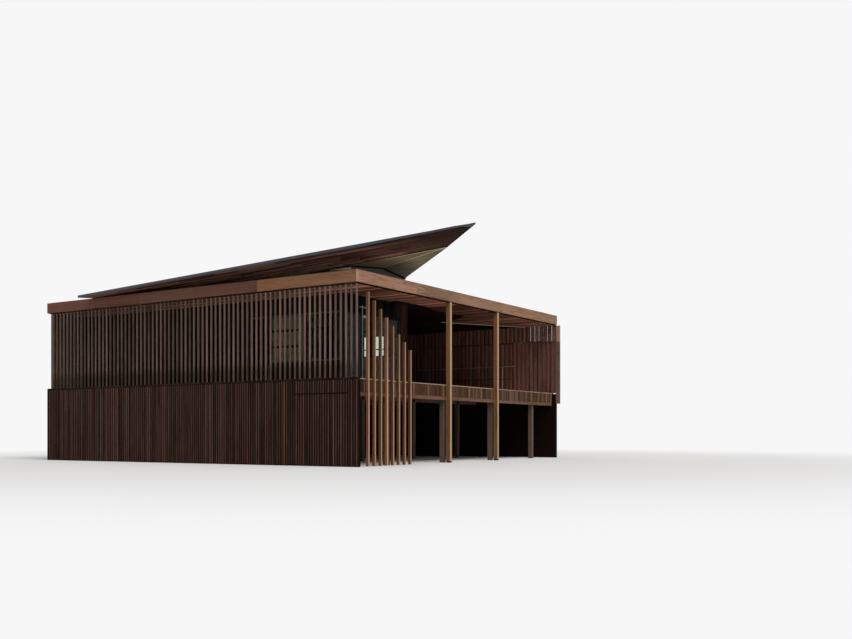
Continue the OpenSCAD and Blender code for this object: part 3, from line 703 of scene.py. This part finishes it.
# The slits between the upper boards are of uneven width, and widest near the open side
SLITS = (0.0135, 0.0102, 0.0065, 0.0105, 0.0112, 0.0117)
u, count = 0.005, 0
while u < SLATS_END - END_PITCH:
    slit = SLITS[count] if count < len(SLITS) else end_top.dice.uniform(0.002, 0.005)
    end_top.box((u, END_V + 0.018, SLATS_LOW), (u + END_PITCH - slit, END_V + 0.030, SOFFIT),
                end_top.pick([end_wall_painted_light(u) * c for c in UPPER_BOARD], 0.25, 0.06), 0.001)
    end_top.box((u + 0.043, END_V, SLATS_LOW), (u + 0.043 + 0.080, END_V + END_T, SOFFIT),
                end_top.pick([end_wall_painted_light(u) * c for c in UPPER_BATTEN], 0.25, 0.06))
    u += END_PITCH
    count += 1
end_run(end_top, u, LOW_BAY, SLATS_LOW, SOFFIT)
end_top.piece("end_wall_slats", "wall_boards", [UPRIGHT, FRONT_GRAIN, DARK_METAL_AND_SHADE], ["end_wall_top"])

# Balustrade: top rail and middle rail on seven thin posts, the first of them paler
guard = Boards(63)
GUARD_V, GUARD_START, GUARD_END, GUARD_T = 11.0, 0.98, 5.20, 0.03
GUARD_TOP, GUARD_MID = FLOOR + 0.97, FLOOR + 0.485
GUARD_FIRST, GUARD_PITCH = 1.45, 0.62
RAIL_UNDER = GUARD_TOP - GUARD_T
guard.box((GUARD_START, GUARD_V, RAIL_UNDER), (GUARD_END, GUARD_V + GUARD_T, GUARD_TOP), PLAIN, 0.006)
guard.box((GUARD_START, GUARD_V + 0.006, GUARD_MID), (GUARD_END, GUARD_V + 0.024, GUARD_MID + 0.03),
          PLAIN, 0.004, 1)
for i in range(7):
    u, finish = GUARD_FIRST + i * GUARD_PITCH, 1 if i else 0
    guard.box((u, GUARD_V, FLOOR), (u + GUARD_T, GUARD_V + GUARD_T, RAIL_UNDER), PLAIN, 0.005, finish)
    guard.box((u - 0.02, GUARD_V - 0.02, FLOOR), (u + 0.05, GUARD_V + 0.05, FLOOR + 0.008),
              PLAIN, 0.002, finish)
guard.piece("deck_guard_rail", "window_metal", [RAIL_METAL, STILE_DARK], ["deck_balustrade"])

# Boarded room walls
CLAD_T, CLAD_SINK, CLAD_PITCH, CLAD_JOINT = 0.022, 0.006, 0.118, 0.008
CASING = 0.035


def clad_wall(name, node, run, span, depth, face_first, holes, seed, stain=WALL_STAIN, pier=None):
    """Upright boards over a core, around holes of (start, end, sill, head). pier says where a part with another
    stain starts, and that stain."""
    made = Boards(seed)
    if face_first:
        outer, near = (depth[0], depth[0] + CLAD_T), (depth[0] + CLAD_SINK, depth[0] + CLAD_T)
        core = (near[1], depth[1])
    else:
        outer, near = (depth[1] - CLAD_T, depth[1]), (depth[1] - CLAD_T, depth[1] - CLAD_SINK)
        core = (depth[0], near[0])

    def upright(a, b, deep, *look):
        """One board from a to b, or its parts above and below the holes that it meets."""
        cuts = sorted({a, b} | {c for hole in holes for c in hole[:2] if a < c < b})
        for one, two in zip(cuts, cuts[1:]):
            inside = [h for h in holes if h[0] - 1e-6 <= one and two <= h[1] + 1e-6]
            parts = [(FLOOR, inside[0][2]), (inside[0][3], SOFFIT)] if inside else [(FLOOR, SOFFIT)]
            for z0, z1 in parts:
                if z1 - z0 > 0.004:
                    made.wall_box(run, (one, deep[0], z0), (two, deep[1], z1), *look)

    upright(span[0], span[1], core, SHADOW, 0.0, 1)
    for place in every(CLAD_PITCH, span[0], span[1] - 0.01):
        stop = min(place + CLAD_PITCH - CLAD_JOINT, span[1])
        tone = pier[1] if pier and place > pier[0] else stain
        upright(place, stop, near, made.pick(tone, 0.3, 0.08))
    for a, b, sill, head in holes:
        low, high = sill - CASING, head + CASING
        for p, q, z0, z1 in ((a - CASING, a, low, high), (b, b + CASING, low, high),
                             (a, b, head, high), (a, b, low, sill)):
            if z0 >= FLOOR - 0.001:
                made.wall_box(run, (p, outer[0], z0), (q, outer[1], z1), PLAIN, 0.003, 2)
    made.piece(name, "wall_boards", [UPRIGHT, INNER, DARK_METAL_AND_SHADE], [node])


FRONT_WINDOW = (1.65, 4.40, SILL, HEAD)
TALL_GLASS = (4.40, 5.20, LOW_SILL, HEAD)
BACK_WINDOW = (1.80, 3.30, FLOOR + 0.94, FLOOR + 1.68)
GLASS_END = 4.30
clad_wall("room_front_cladding", "room_front_wall", "u", (ROOM_U, HOUSE_L - WALL_T),
          (ROOM_V, PANEL_V), True, [FRONT_WINDOW, TALL_GLASS], 71, FRONT_WALL_STAIN)
clad_wall("room_side_cladding", "room_side_wall", "v", (PANEL_V, ROOM_BACK),
          (ROOM_U, ROOM_IN), True, [(PANEL_V, GLASS_END, FLOOR, HEAD)], 72, SIDE_WALL_PAINTED_SHADE, (4.25, PIER_STAIN))
clad_wall("room_back_cladding", "room_back_wall", "u", (ROOM_IN, REAR_U + WALL_T),
          (ROOM_BACK - WALL_T, ROOM_BACK), False, [BACK_WINDOW, (4.40, 7.40, LOW_SILL, HEAD)], 73)
clad_wall("rear_deck_cladding", "rear_deck_wall", "v", (ROOM_BACK, HOUSE_W - WALL_T),
          (REAR_U, REAR_U + WALL_T), True, [(7.60, 10.60, LOW_SILL, HEAD)], 74)
clad_wall("rear_back_cladding", "rear_back_wall", "u", (REAR_U, HOUSE_L - WALL_T),
          (HOUSE_W - WALL_T, HOUSE_W), False, [(9.70, 10.90, SILL, HEAD)], 75)
clad_wall("left_cladding", "left_wall", "v", (BASE_T, HOUSE_W),
          (HOUSE_L - WALL_T, HOUSE_L), False, [(2.15, 3.95, SILL, HEAD), (8.20, 10.00, SILL, HEAD)], 76)

# Lined half of the front window: pale boards, and two dark slots across all but the first of them
lined = Boards(81)
PANEL_START, LINER_PITCH = 3.11, 0.215
for i in range(6):
    u = PANEL_START + i * LINER_PITCH
    lined.box((u + 0.002, PANEL_V, SILL), (u + LINER_PITCH - 0.002, PANEL_V + 0.016, HEAD),
              lined.pick(PLY_STAIN, 0.07, 0.03), 0.002)
    for z in (3.55, 4.03) if i else ():
        lined.box((u, PANEL_V - 0.0005, z - 0.038), (u + LINER_PITCH, PANEL_V + 0.006, z + 0.038),
                  SLOT_STAIN, 0.0, 1)
lined.box((PANEL_START, PANEL_V + 0.016, SILL), (FRONT_WINDOW[1], PANEL_V + 0.02, HEAD), SHADOW, 0.0, 1)
lined.piece("lined_window_panel", "tan_panel", [PLY, UPRIGHT], ["front_window_panel"])

# Glass side wall: its edge strip, the strip's bracket and head, and the sill and head of the wall
side = Boards(82)
side.box((1.475, 2.242, FLOOR), (ROOM_U, 2.272, SOFFIT - 0.28), PLAIN, 0.003, 1)
side.box((1.470, 2.300, 4.36), (ROOM_U, 2.420, 4.43), PLAIN, 0.006, 2)
side.box((1.480, 2.12, 4.655), (ROOM_U, 2.46, 4.685), PLAIN, 0.004, 1)
side.box((1.49, PANEL_V, FLOOR), (1.525, GLASS_END, FLOOR + 0.045), PLAIN)
side.box((1.515, PANEL_V, HEAD - 0.04), (1.53, GLASS_END, HEAD + 0.01), PLAIN)
# Small back window: the bar across it and the three uprights
BAR_V = (ROOM_BACK - 0.075, ROOM_BACK - 0.045)
for start, stop, low, high in ((BACK_WINDOW[0], BACK_WINDOW[1], 3.615, 3.65), (2.33, 2.39, *BACK_WINDOW[2:]),
                               (2.805, 2.955, *BACK_WINDOW[2:]), (3.165, 3.30, *BACK_WINDOW[2:])):
    side.box((start, BAR_V[0], low), (stop, BAR_V[1], high), PLAIN)
side.piece("glass_wall_trim", "window_metal", [DARK_METAL_AND_SHADE, GLASS_EDGE, PALE_METAL])

# Soffit boards
WELL = (ROOM_IN, 8.85, 1.76, 4.52)


def outside_well(v0, v1, start, stop):
    """Stretches along u that miss the well under the clerestory."""
    if v1 <= WELL[2] or v0 >= WELL[3]:
        return [(start, stop)]
    return [(start, WELL[0]), (WELL[1], stop)]


def around_well():
    """The four rectangles inside the fascias that leave the well open: u from, u to, v from, v to."""
    for v0, v1 in ((FASCIA_T, WELL[2]), (WELL[2], WELL[3]), (WELL[3], HOUSE_W - FASCIA_T)):
        for start, stop in outside_well(v0, v1, FASCIA_T, HOUSE_L - FASCIA_T):
            yield start, stop, v0, v1


DARK_EDGE = ((3.6, 1.2), (5.2, 1.2), (6.2, 1.5), (8.2, 1.45), (9.2, 2.6))


def dark_from(v):
    """Where along u the soffit turns nearly black, in the rows deep under the roof."""
    for (v0, u0), (v1, u1) in zip(DARK_EDGE, DARK_EDGE[1:]):
        if v0 <= v < v1:
            return u0 + (u1 - u0) * (v - v0) / (v1 - v0)
    return HOUSE_L


def soffit_painted_light(v):
    """How pale the soffit's rows are painted, from the front to the back, as painted light."""
    for end, level in ((1.3, 1.5), (3.4, 1.0), (5.4, 2.1), (9.4, 0.68)):
        if v < end:
            return level
    return 1.15


soffit = Boards(91)
SOFFIT_PITCH = 0.1335
for v in every(SOFFIT_PITCH, FASCIA_T, HOUSE_W - 0.05):
    wide = min(v + SOFFIT_PITCH, HOUSE_W - FASCIA_T)
    tone = soffit.dice.random()
    turn = dark_from(v)
    for start, stop in outside_well(v, wide, FASCIA_T, HOUSE_L - FASCIA_T):
        for place, ahead in soffit.lengths(start, stop, 1.5, 4.2, 0.7, turn):
            light = (0.45 * tone + 0.55 * soffit.dice.random()) ** 1.8
            level = soffit_painted_light(v) if place < turn - 0.01 else 0.08
            stain = [level * (d + (l - d) * light) for d, l in zip(SOFFIT_DARK, SOFFIT_LIGHT)]
            stain = soffit.pick(stain, 0.1)
            soffit.box((place, v, SOFFIT), (ahead - 0.003, wide - 0.007, SOFFIT + 0.018), stain)
for start, stop, v0, v1 in around_well():
    soffit.box((start, v0, SOFFIT + 0.02), (stop, v1, SOFFIT + 0.03), SHADOW, 0.0, 1)
# Painted shade under the fascia on the deck side: a dark strip recessed behind it
soffit.box((0.010, FASCIA_T, SOFFIT - 0.024), (0.0395, HOUSE_W - FASCIA_T, FASCIA_LOW), SHADOW, 0.001, 1)
soffit.piece("soffit_boards", "soffit_timber", [SOFFIT_WOOD, DARK_METAL_AND_SHADE], ["soffit"])

# Dark panel in the deck's ceiling, and the pale trim along its slanting edge
ceiling = Boards(92)
PANEL_BACK, PANEL_FRONT = (1.33, 12.53), (3.13, 9.38)
PANEL = [PANEL_BACK, PANEL_FRONT, (REAR_U, PANEL_FRONT[1]), (REAR_U, PANEL_BACK[1])]
PANEL_TRIM = [PANEL_BACK, PANEL_FRONT, (3.10, 9.355), (1.295, PANEL_BACK[1])]
for ring, depth, stain, finish in ((PANEL, 0.008, CEILING_STAIN, 0), (PANEL_TRIM, 0.022, PLAIN, 1)):
    ceiling.prism([(u, v, SOFFIT - depth) for u, v in ring], [(u, v, SOFFIT - 0.001) for u, v in ring],
                  stain, finish)
ceiling.piece("deck_ceiling_panel", "soffit_timber", [FRONT_GRAIN, PALE_METAL])

# Fascia boards, end to end with a fine gap at each joint. A tone is a board's stain and what pick varies it by.
FASCIA_GAP = 0.0015
RED = (FASCIA_RED, 0.15)
SIDE_TONES = [([level * c for c in FASCIA_SIDE], 0.06, 0.03) for level in (1.10, 0.91, 1.13, 1.06, 1.06)]
FRONT_TONES = [(FASCIA_TAN,), (FASCIA_ORANGE,), (FASCIA_RED,), (FASCIA_RED, 0.1), RED, (FASCIA_RED, 0.1)]
for name, seed, wood, run, near, joints, tones in (
        ("front", 101, FASCIA_WOOD, "u", 0.0, (FASCIA_T, 2.20, 3.61, 6.15, 8.60, 11.0, HOUSE_L), FRONT_TONES),
        ("deck_side", 102, FASCIA_DECK_PAINTED_LIGHT_WOOD, "v", 0.0, (0.0, 2.95, 5.35, 8.30, 10.75, HOUSE_W), SIDE_TONES),
        ("back", 103, FASCIA_WOOD, "u", HOUSE_W - FASCIA_T,
         (FASCIA_T, 2.6, 5.4, 8.1, 10.9, HOUSE_L), [RED] * 6),
        ("left", 104, FASCIA_CROSS_WOOD, "v", HOUSE_L - FASCIA_T,
         (FASCIA_T, 2.9, 5.6, 8.5, 11.1, HOUSE_W - FASCIA_T), [RED] * 6)):
    fascia = Boards(seed)
    # The sixth tone of the back and left fascias is picked and not used
    stains = [fascia.pick(*tone) if len(tone) > 1 else tone[0] for tone in tones]
    for i, stain in zip(range(len(joints) - 1), stains):
        start = joints[i] + (FASCIA_GAP if i else 0)
        stop = joints[i + 1] - (FASCIA_GAP if i < len(joints) - 2 else 0)
        fascia.wall_box(run, (start, near, FASCIA_LOW + 0.012), (stop, near + FASCIA_T, FASCIA_EDGE),
                        stain, 0.004)
    fascia.piece(f"{name}_fascia_boards", "fascia_timber", [wood], [f"fascia_{name}"])

# Metal capping on the fascias
cap = Boards(105)
CAP_W = 0.046
for low, high in (((0, 0), (HOUSE_L, CAP_W)), ((0, CAP_W), (CAP_W, HOUSE_W)),
                  ((CAP_W, HOUSE_W - CAP_W), (HOUSE_L, HOUSE_W)),
                  ((HOUSE_L - CAP_W, CAP_W), (HOUSE_L, HOUSE_W - CAP_W))):
    cap.box((*low, FASCIA_EDGE), (*high, FASCIA_TOP), PLAIN, 0.0015)
cap.piece("fascia_capping", "roof_metal", [DARK_METAL_AND_SHADE])

# Flat roof: sheet with ribs that run from the front to the back and stop short of the clerestory
sheet = Boards(111)
SHEET = FASCIA_TOP - 0.06
SHEET_TOP = SHEET + 0.012
RIB_PITCH, RIB_STOP = 0.405, 0.06
for start, stop, v0, v1 in around_well():
    sheet.box((start, v0, SHEET), (stop, v1, SHEET_TOP), PLAIN, 0.0)
for u in every(RIB_PITCH, 0.25, HOUSE_L - 0.1):
    stretches = [(RIB_STOP, HOUSE_W - RIB_STOP)]
    if WELL[0] - 0.15 < u < WELL[1] + 0.15:
        stretches = [(RIB_STOP, WELL[2] - RIB_STOP), (WELL[3] + RIB_STOP, HOUSE_W - RIB_STOP)]
    for v0, v1 in stretches:
        sheet.box((u - 0.012, v0, SHEET + 0.010), (u + 0.012, v1, SHEET + 0.029), PLAIN, 0.004)
sheet.piece("flat_roof_sheet", "roof_metal", [SHEET_METAL], ["flat_roof"])

# Folded roof. The underside is ruled between the long edge and the line of the knee, and falls to the left.
CLER_U, CLER_V, CLER_BACK, CLER_H = 1.5, 1.74, 4.54, 0.472
KNEE_U, KNEE_H = -1.776, 0.679
KNEE = (KNEE_U, CLER_V, FASCIA_TOP + KNEE_H)
FALL = (KNEE_H - CLER_H) / (CLER_U - KNEE_U)
CLER_END = CLER_U + CLER_H / FALL
RIDGE_END = (CLER_U, 3.315, FASCIA_TOP + 0.624)
BACK_CORNER = (CLER_U, CLER_BACK, FASCIA_TOP + 0.475)
FRONT_FOOT = (CLER_END, CLER_V, FASCIA_TOP)
RIDGE_FOOT, BACK_FOOT = ((CLER_END, v, z - FALL * (CLER_END - CLER_U)) for _, v, z in (RIDGE_END, BACK_CORNER))
TIP_U, EDGE_V, EDGE_T = -3.85, -0.30, 0.04
TIP_TOP = FASCIA_TOP + 0.75
EDGE_FALL = math.tan(math.radians(2.51))
EDGE_END = TIP_U + 0.66 / EDGE_FALL
WING_IN = EDGE_V + EDGE_T
SHEET_LOW, SHEET_THIN, SHEET_HIGH = 0.02, 0.026, 0.055
# Where the boards and sheets of the wing are jointed, a little way in from the knee
JOINT_U = -0.55


def edge_top(u):
    return TIP_TOP - EDGE_FALL * (u - TIP_U)


def edge_depth(u):
    """The long edge is thin at the tip and deepens along the wing."""
    return 0.026 + 0.050 * min(1.0, (u - TIP_U) / 3.3)


def knee_line(u):
    return KNEE[2] - FALL * (u - KNEE_U)


def under(u, v):
    """Height of the front wing's underside."""
    share = (v - EDGE_V) / (CLER_V - EDGE_V)
    return (edge_top(u) - edge_depth(u)) * (1 - share) + knee_line(u) * share


def cut_at(v):
    """Where the wing's slanting cut lies, from the tip to the knee."""
    return TIP_U + (KNEE_U - TIP_U) * (v - EDGE_V) / (CLER_V - EDGE_V)


def end_at(v):
    """Where the wing runs out on the flat roof."""
    return EDGE_END + (CLER_END - EDGE_END) * (v - EDGE_V) / (CLER_V - EDGE_V)


def wing_strip(made, v0, v1, starts, stops, low, high, stain=PLAIN, finish=0):
    """A strip of the front wing between two lines of equal v. low and high are heights over the underside, and
    high may be one for each corner."""
    ring = [(starts[0], v0), (starts[1], v1), (stops[1], v1), (stops[0], v0)]
    if isinstance(high, float):
        high = (high,) * 4
    made.prism([(u, v, under(u, v) + low) for u, v in ring],
               [(u, v, under(u, v) + h) for (u, v), h in zip(ring, high)], stain, finish)


def lining_level(row, u):
    """Darker boards by the long edge and paler ones by the knee even out the light, as in the photo."""
    knee_level = min(4.7, 0.55 * 2 ** max(0.0, (u + 0.7) / 1.2))
    return 0.42 + (knee_level - 0.42) * max(0.0, (row - 7) / 20)


lining = Boards(121)
LINING_ROWS, LINING_JOINT = 28, 0.004
for row in range(LINING_ROWS):
    v0 = WING_IN + (CLER_V - WING_IN) * row / LINING_ROWS
    v1 = WING_IN + (CLER_V - WING_IN) * (row + 1) / LINING_ROWS - LINING_JOINT
    starts, ends = (cut_at(v0), cut_at(v1)), (end_at(v0), end_at(v1))
    tone = lining.dice.choice(LINING_TONES)
    backing = ((starts[0] + 0.01, starts[1] + 0.01), (JOINT_U, JOINT_U), ends)
    for near, far in zip(backing, backing[1:]):
        wing_strip(lining, v0, v1 + LINING_JOINT, near, far, 0.015, 0.019, SHADOW, 1)
    while starts[0] < ends[0] - 0.05:
        ahead = starts[1] + lining.dice.uniform(1.2, 2.7)
        if starts[0] < JOINT_U < ahead:
            ahead = JOINT_U
        stops = ends if ahead > ends[0] - 1.0 else (ahead, ahead)
        board_tone = tone if lining.dice.random() < 0.6 else lining.dice.choice(LINING_TONES)
        stain = lining.pick(board_tone, 0.2, 0.08)
        level = lining_level(row, (starts[0] + ahead) / 2)
        stain = [min(0.85, level * c) for c in stain]
        wing_strip(lining, v0, v1, starts, (stops[0] - 0.003, stops[1] - 0.003), 0.0, 0.014, stain)
        starts = stops
lining.piece("wing_lining_boards", "soffit_timber", [LINING_WOOD, DARK_METAL_AND_SHADE], ["timber_lining"])

wing = Boards(122)
WING_BAYS = 5
for bay in range(WING_BAYS):
    v0 = WING_IN + (CLER_V - WING_IN) * bay / WING_BAYS
    v1 = WING_IN + (CLER_V - WING_IN) * (bay + 1) / WING_BAYS
    near, far = (cut_at(v0), cut_at(v1)), (cut_at(v0) + 0.6, cut_at(v1) + 0.6)
    joint = (JOINT_U, JOINT_U) if max(far) < JOINT_U else far
    wing_strip(wing, v0, v1, near, far, SHEET_LOW, (SHEET_THIN, SHEET_THIN, SHEET_HIGH, SHEET_HIGH))
    wing_strip(wing, v0, v1, far, joint, SHEET_LOW, SHEET_HIGH)
    wing_strip(wing, v0, v1, joint, (end_at(v0), end_at(v1)), SHEET_LOW, SHEET_HIGH)
    for a, b in ((far[0], JOINT_U), (JOINT_U, end_at(v0))) if bay else ():
        if b > a:
            wing_strip(wing, v0 - 0.008, v0 + 0.008, (a, a), (b, b), 0.05, 0.078)


def slab(made, corners, highs):
    """A part of the sheet metal. highs are its heights over the lining's corners, thin where an edge shows."""
    made.prism([(u, v, z + SHEET_LOW) for u, v, z in corners],
               [(u, v, z + h) for (u, v, z), h in zip(corners, highs)], PLAIN)


slab(wing, (KNEE, RIDGE_END, RIDGE_FOOT), (SHEET_THIN, SHEET_HIGH, SHEET_HIGH))
slab(wing, (KNEE, RIDGE_FOOT, FRONT_FOOT), (SHEET_THIN, SHEET_HIGH, SHEET_HIGH))
wing.piece("front_wing_sheet", "roof_metal", [ROOF_METAL], ["folded_roof_front"])

back_wing = Boards(123)
slab(back_wing, (RIDGE_END, KNEE, BACK_CORNER), (SHEET_HIGH, SHEET_THIN, SHEET_THIN))
slab(back_wing, (RIDGE_END, BACK_CORNER, BACK_FOOT), (SHEET_HIGH, 0.03, SHEET_HIGH))
slab(back_wing, (RIDGE_END, BACK_FOOT, RIDGE_FOOT), (SHEET_HIGH,) * 3)


def blend(a, b, share):
    """A point on the line from a to b."""
    return tuple(p + (q - p) * share for p, q in zip(a, b))


def strip(made, a, b, half, low, high, stain=PLAIN, finish=0):
    """A flat bar along the line between two points, half as wide as half says and from low to high over it."""
    run = (b[0] - a[0], b[1] - a[1])
    size = math.hypot(*run)
    across = (-run[1] / size * half, run[0] / size * half)
    ring = [(a[0] + across[0], a[1] + across[1], a[2]), (b[0] + across[0], b[1] + across[1], b[2]),
            (b[0] - across[0], b[1] - across[1], b[2]), (a[0] - across[0], a[1] - across[1], a[2])]
    made.prism([(u, v, z + low) for u, v, z in ring], [(u, v, z + high) for u, v, z in ring], stain, finish)


for share in (0.12, 0.29, 0.46, 0.63, 0.80, 0.95):
    strip(back_wing, blend(RIDGE_END, RIDGE_FOOT, share), blend(BACK_CORNER, BACK_FOOT, share),
          0.008, 0.045, 0.075)
strip(back_wing, RIDGE_END, RIDGE_FOOT, 0.06, 0.05, 0.066)
strip(back_wing, KNEE, RIDGE_END, 0.05, 0.024, 0.06)
back_wing.piece("back_wing_sheet", "roof_metal", [ROOF_METAL], ["folded_roof_back"])

# Metal along the long edge. Its first part is cut at a slant, and its last lengths meet at fine joints.
trim = Boards(124)
EDGE_JOINTS = (2.4, 5.4, 8.4)
stops = [TIP_U, -2.9, -2.1, -1.3, JOINT_U, *EDGE_JOINTS, EDGE_END]
for a, b in zip(stops, stops[1:]):
    far = b - (0.0008 if b in EDGE_JOINTS else 0)
    inner = cut_at(WING_IN) if a == TIP_U else a
    ring = [(a, EDGE_V), (far, EDGE_V), (far, WING_IN), (inner, WING_IN)]
    trim.prism([(u, v, edge_top(u) - edge_depth(u)) for u, v in ring],
               [(u, v, edge_top(u)) for u, v in ring], PLAIN)
trim.piece("long_edge_trim", "roof_metal", [EDGE_METAL], ["folded_roof_edge"])

# Folds, joints and edges of the underside, and the metal cap on its tip
folds = Boards(125)
HEAD_U, HEAD_FRONT, HEAD_BACK = 1.475, knee_line(CLER_U) - 0.002, BACK_CORNER[2] - 0.002
HEAD_RIDGE = (HEAD_U, RIDGE_END[1], RIDGE_END[2] - 0.002)
strip(folds, KNEE, RIDGE_END, 0.020, -0.008, 0.001, PLAIN, 2)
strip(folds, KNEE, (CLER_U, CLER_V, knee_line(CLER_U)), 0.014, -0.006, 0.001, PLAIN, 2)
for share in (0.36, 0.7):
    strip(folds, RIDGE_END, blend(KNEE, BACK_CORNER, share), 0.004, -0.003, 0.001, SHADOW, 1)
strip(folds, (HEAD_U, CLER_V + 0.02, HEAD_FRONT), HEAD_RIDGE, 0.024, -0.032, 0.002, SHADOW, 1)
strip(folds, HEAD_RIDGE, (HEAD_U, CLER_BACK, HEAD_BACK), 0.024, -0.032, 0.002, SHADOW, 1)
CAP_LENGTH = 0.34
cap_v = WING_IN + CAP_LENGTH * 0.55
wing_strip(folds, WING_IN, cap_v, (cut_at(WING_IN) + 0.006, cut_at(cap_v) + 0.006),
           (cut_at(WING_IN) + CAP_LENGTH, cut_at(cap_v) + 0.02), -0.006, -0.0005, PLAIN, 3)
cut_low = (cut_at(WING_IN) + 0.012, WING_IN, under(cut_at(WING_IN), WING_IN))
strip(folds, cut_low, (KNEE_U + 0.012, CLER_V, KNEE[2]), 0.012, -0.008, 0.016, SHADOW, 1)
strip(folds, (KNEE_U + 0.02, CLER_V + 0.02, KNEE[2]), (CLER_U - 0.01, CLER_BACK - 0.02, BACK_CORNER[2]),
      0.010, -0.005, 0.012, PLAIN, 3)
folds.piece("panel_folds", "olive_panel", [OLIVE_PAINTED_SHADED, DARK_METAL_AND_SHADE, FOLD_TRIM, GREY_METAL])

# Clerestory: mullions, sill and upstand flashings, and the pale wedge of flashing at its open end
cler = Boards(126)
MULLION_PITCH = 1.16
for u in every(MULLION_PITCH, ROOM_IN + 0.02, CLER_END - 1.2):
    top = FASCIA_TOP + CLER_H - FALL * (u - CLER_U) - 0.004
    cler.box((u, CLER_V - 0.015, SHEET + 0.03), (u + 0.045, CLER_V + 0.005, top - 0.004), PLAIN, 0.002)
for start, stop, v0, v1, top in ((ROOM_IN, CLER_END, CLER_V - 0.025, CLER_V, 0.085),
                                 (ROOM_IN, CLER_END, CLER_BACK, CLER_BACK + 0.02, 0.10),
                                 (ROOM_U - 0.012, ROOM_U, CLER_V - 0.02, CLER_BACK + 0.02, 0.10)):
    cler.box((start, v0, SHEET_TOP), (stop, v1, SHEET + top), PLAIN, 0.002)
WEDGE_END = 2.26
wedge = [(CLER_U, 1.700), (WEDGE_END, 1.700), (WEDGE_END, 1.715), (CLER_U, 1.715)]
cler.prism([(u, v, FASCIA_TOP + (0.351 if u == CLER_U else 0.396)) for u, v in wedge],
           [(u, v, FASCIA_TOP + (0.421 if u == CLER_U else 0.406)) for u, v in wedge], PLAIN, 1)
cler.piece("clerestory_trim", "roof_metal", [ROOF_METAL, FLASHING])

# Brackets on both sides of each pier, under the floor
brackets = Boards(127)
PIER_FIRST = 0.315
PIER_PITCH = (HOUSE_L - BASE_T - 0.14 - PIER_FIRST) / 4
for i in range(5):
    for v in PIER_ROWS:
        for near, far in ((-0.052, -0.045), (0.045, 0.052)):
            u = PIER_FIRST + i * PIER_PITCH
            brackets.box((u + near, v - 0.06, 1.93), (u + far, v + 0.06, 2.13), SHADOW, 0.001)
brackets.piece("bearer_brackets", "window_metal", [DARK_METAL_AND_SHADE])

# Finishes of the nodes that stay
for node, look in {
    "floor_piers": FRAMING, "floor_bearers": FRAMING_CROSS, "floor_joists": FRAMING_LEVEL,
    "roof_frame": FRAMING_CROSS, "front_window_frame": FRAME_METAL, "room_side_frame": STILE_DARK,
    "rear_frames": DARK_METAL_AND_SHADE, "room_glass": GLASS, "rear_glass": GLASS, "clerestory_glass": GLASS,
    "clerestory_ends": END_GREY, "clerestory_back": END_GREY, "upper_panel": OLIVE_PAINTED_LIT, "lower_panel": OLIVE_PAINTED_SHADED,
}.items():
    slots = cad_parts[node].material_slots
    if not slots:
        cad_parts[node].data.materials.append(look)
    for place in slots:
        place.material = look

# Stage, light and camera. Near the house the floor shows its shadow, and further out it is the pale backdrop.
PALE = rgba((0.93, 0.93, 0.94))
GROUND_REACH = 400
FADE_FROM, FADE_OVER = 12, 16


def seen_plainly(nodes):
    """1 for the rays that show the backdrop: from the camera, in gloss and through glass."""
    camera, gloss, glass = (nodes.node("ShaderNodeLightPath", out=f"Is {ray} Ray")
                            for ray in ("Camera", "Glossy", "Transmission"))
    return (camera + gloss + glass).clamp()


ground_mesh = bpy.data.meshes.new("ground")
corners = ((-1, -1), (1, -1), (1, 1), (-1, 1))
ground_mesh.from_pydata([(GROUND_REACH * i, GROUND_REACH * j, 0) for i, j in corners], [], [(0, 1, 2, 3)])
ground = bpy.data.objects.new("ground", ground_mesh)
bpy.context.scene.collection.objects.link(ground)
floor_look = Look("pale_floor", Roughness=0.9, Specular_IOR_Level=0.05)
spot = floor_look.node("ShaderNodeTexCoord", out=3)
reach = floor_look.node("ShaderNodeVectorMath", {"operation": "LENGTH"}, (spot,), out=1)
fade = ((reach - FADE_FROM) / FADE_OVER).clamp()
fade = fade * fade * (3 - 2 * fade) * seen_plainly(floor_look)
glow = floor_look.node("ShaderNodeEmission", None, (PALE, 1.0))
surface = floor_look.node("ShaderNodeBsdfDiffuse", None, (rgba((0.70, 0.70, 0.70)),))
mixed = floor_look.node("ShaderNodeMixShader", None, (fade, surface, glow))
floor_look.tree.links.new(mixed.socket, floor_look.tree.nodes["Material Output"].inputs[0])
ground_mesh.materials.append(floor_look.material)
ground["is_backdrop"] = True

world = bpy.data.worlds.new("soft_sky")
bpy.context.scene.world = world
world.use_nodes = True
world.node_tree.nodes.clear()
sky = Nodes(world.node_tree)
lit = sky.node("ShaderNodeBackground", None, ((0.96, 0.97, 1.0, 1), 0.5))
shown = sky.node("ShaderNodeBackground", None, (PALE, 1.0))
mixed = sky.node("ShaderNodeMixShader", None, (seen_plainly(sky), lit, shown))
sky.node("ShaderNodeOutputWorld", None, (mixed,), out=None)

sun = bpy.data.lights.new("soft_sun", "SUN")
sun.energy = 2.4
sun.angle = math.radians(35)
sun.color = (1.0, 0.97, 0.93)
lamp = bpy.data.objects.new("soft_sun", sun)
lamp.rotation_euler = (math.radians(38), 0, math.radians(68))
bpy.context.scene.collection.objects.link(lamp)

camera_data = bpy.data.cameras.new("camera")
camera_data.sensor_width = 36
camera_data.lens = 41.4585
camera_data.shift_y = 0.13345
camera = bpy.data.objects.new("camera", camera_data)
camera.location = (20.521, -27.487, 0.918)
camera.rotation_euler = (math.radians(90), 0, math.radians(32.62))
bpy.context.scene.collection.objects.link(camera)
bpy.context.scene.camera = camera
bpy.context.scene.view_settings.view_transform = "Standard"

low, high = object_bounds()
{"cad": [list(cad_low), list(cad_high)], "visual": [list(low), list(high)]}
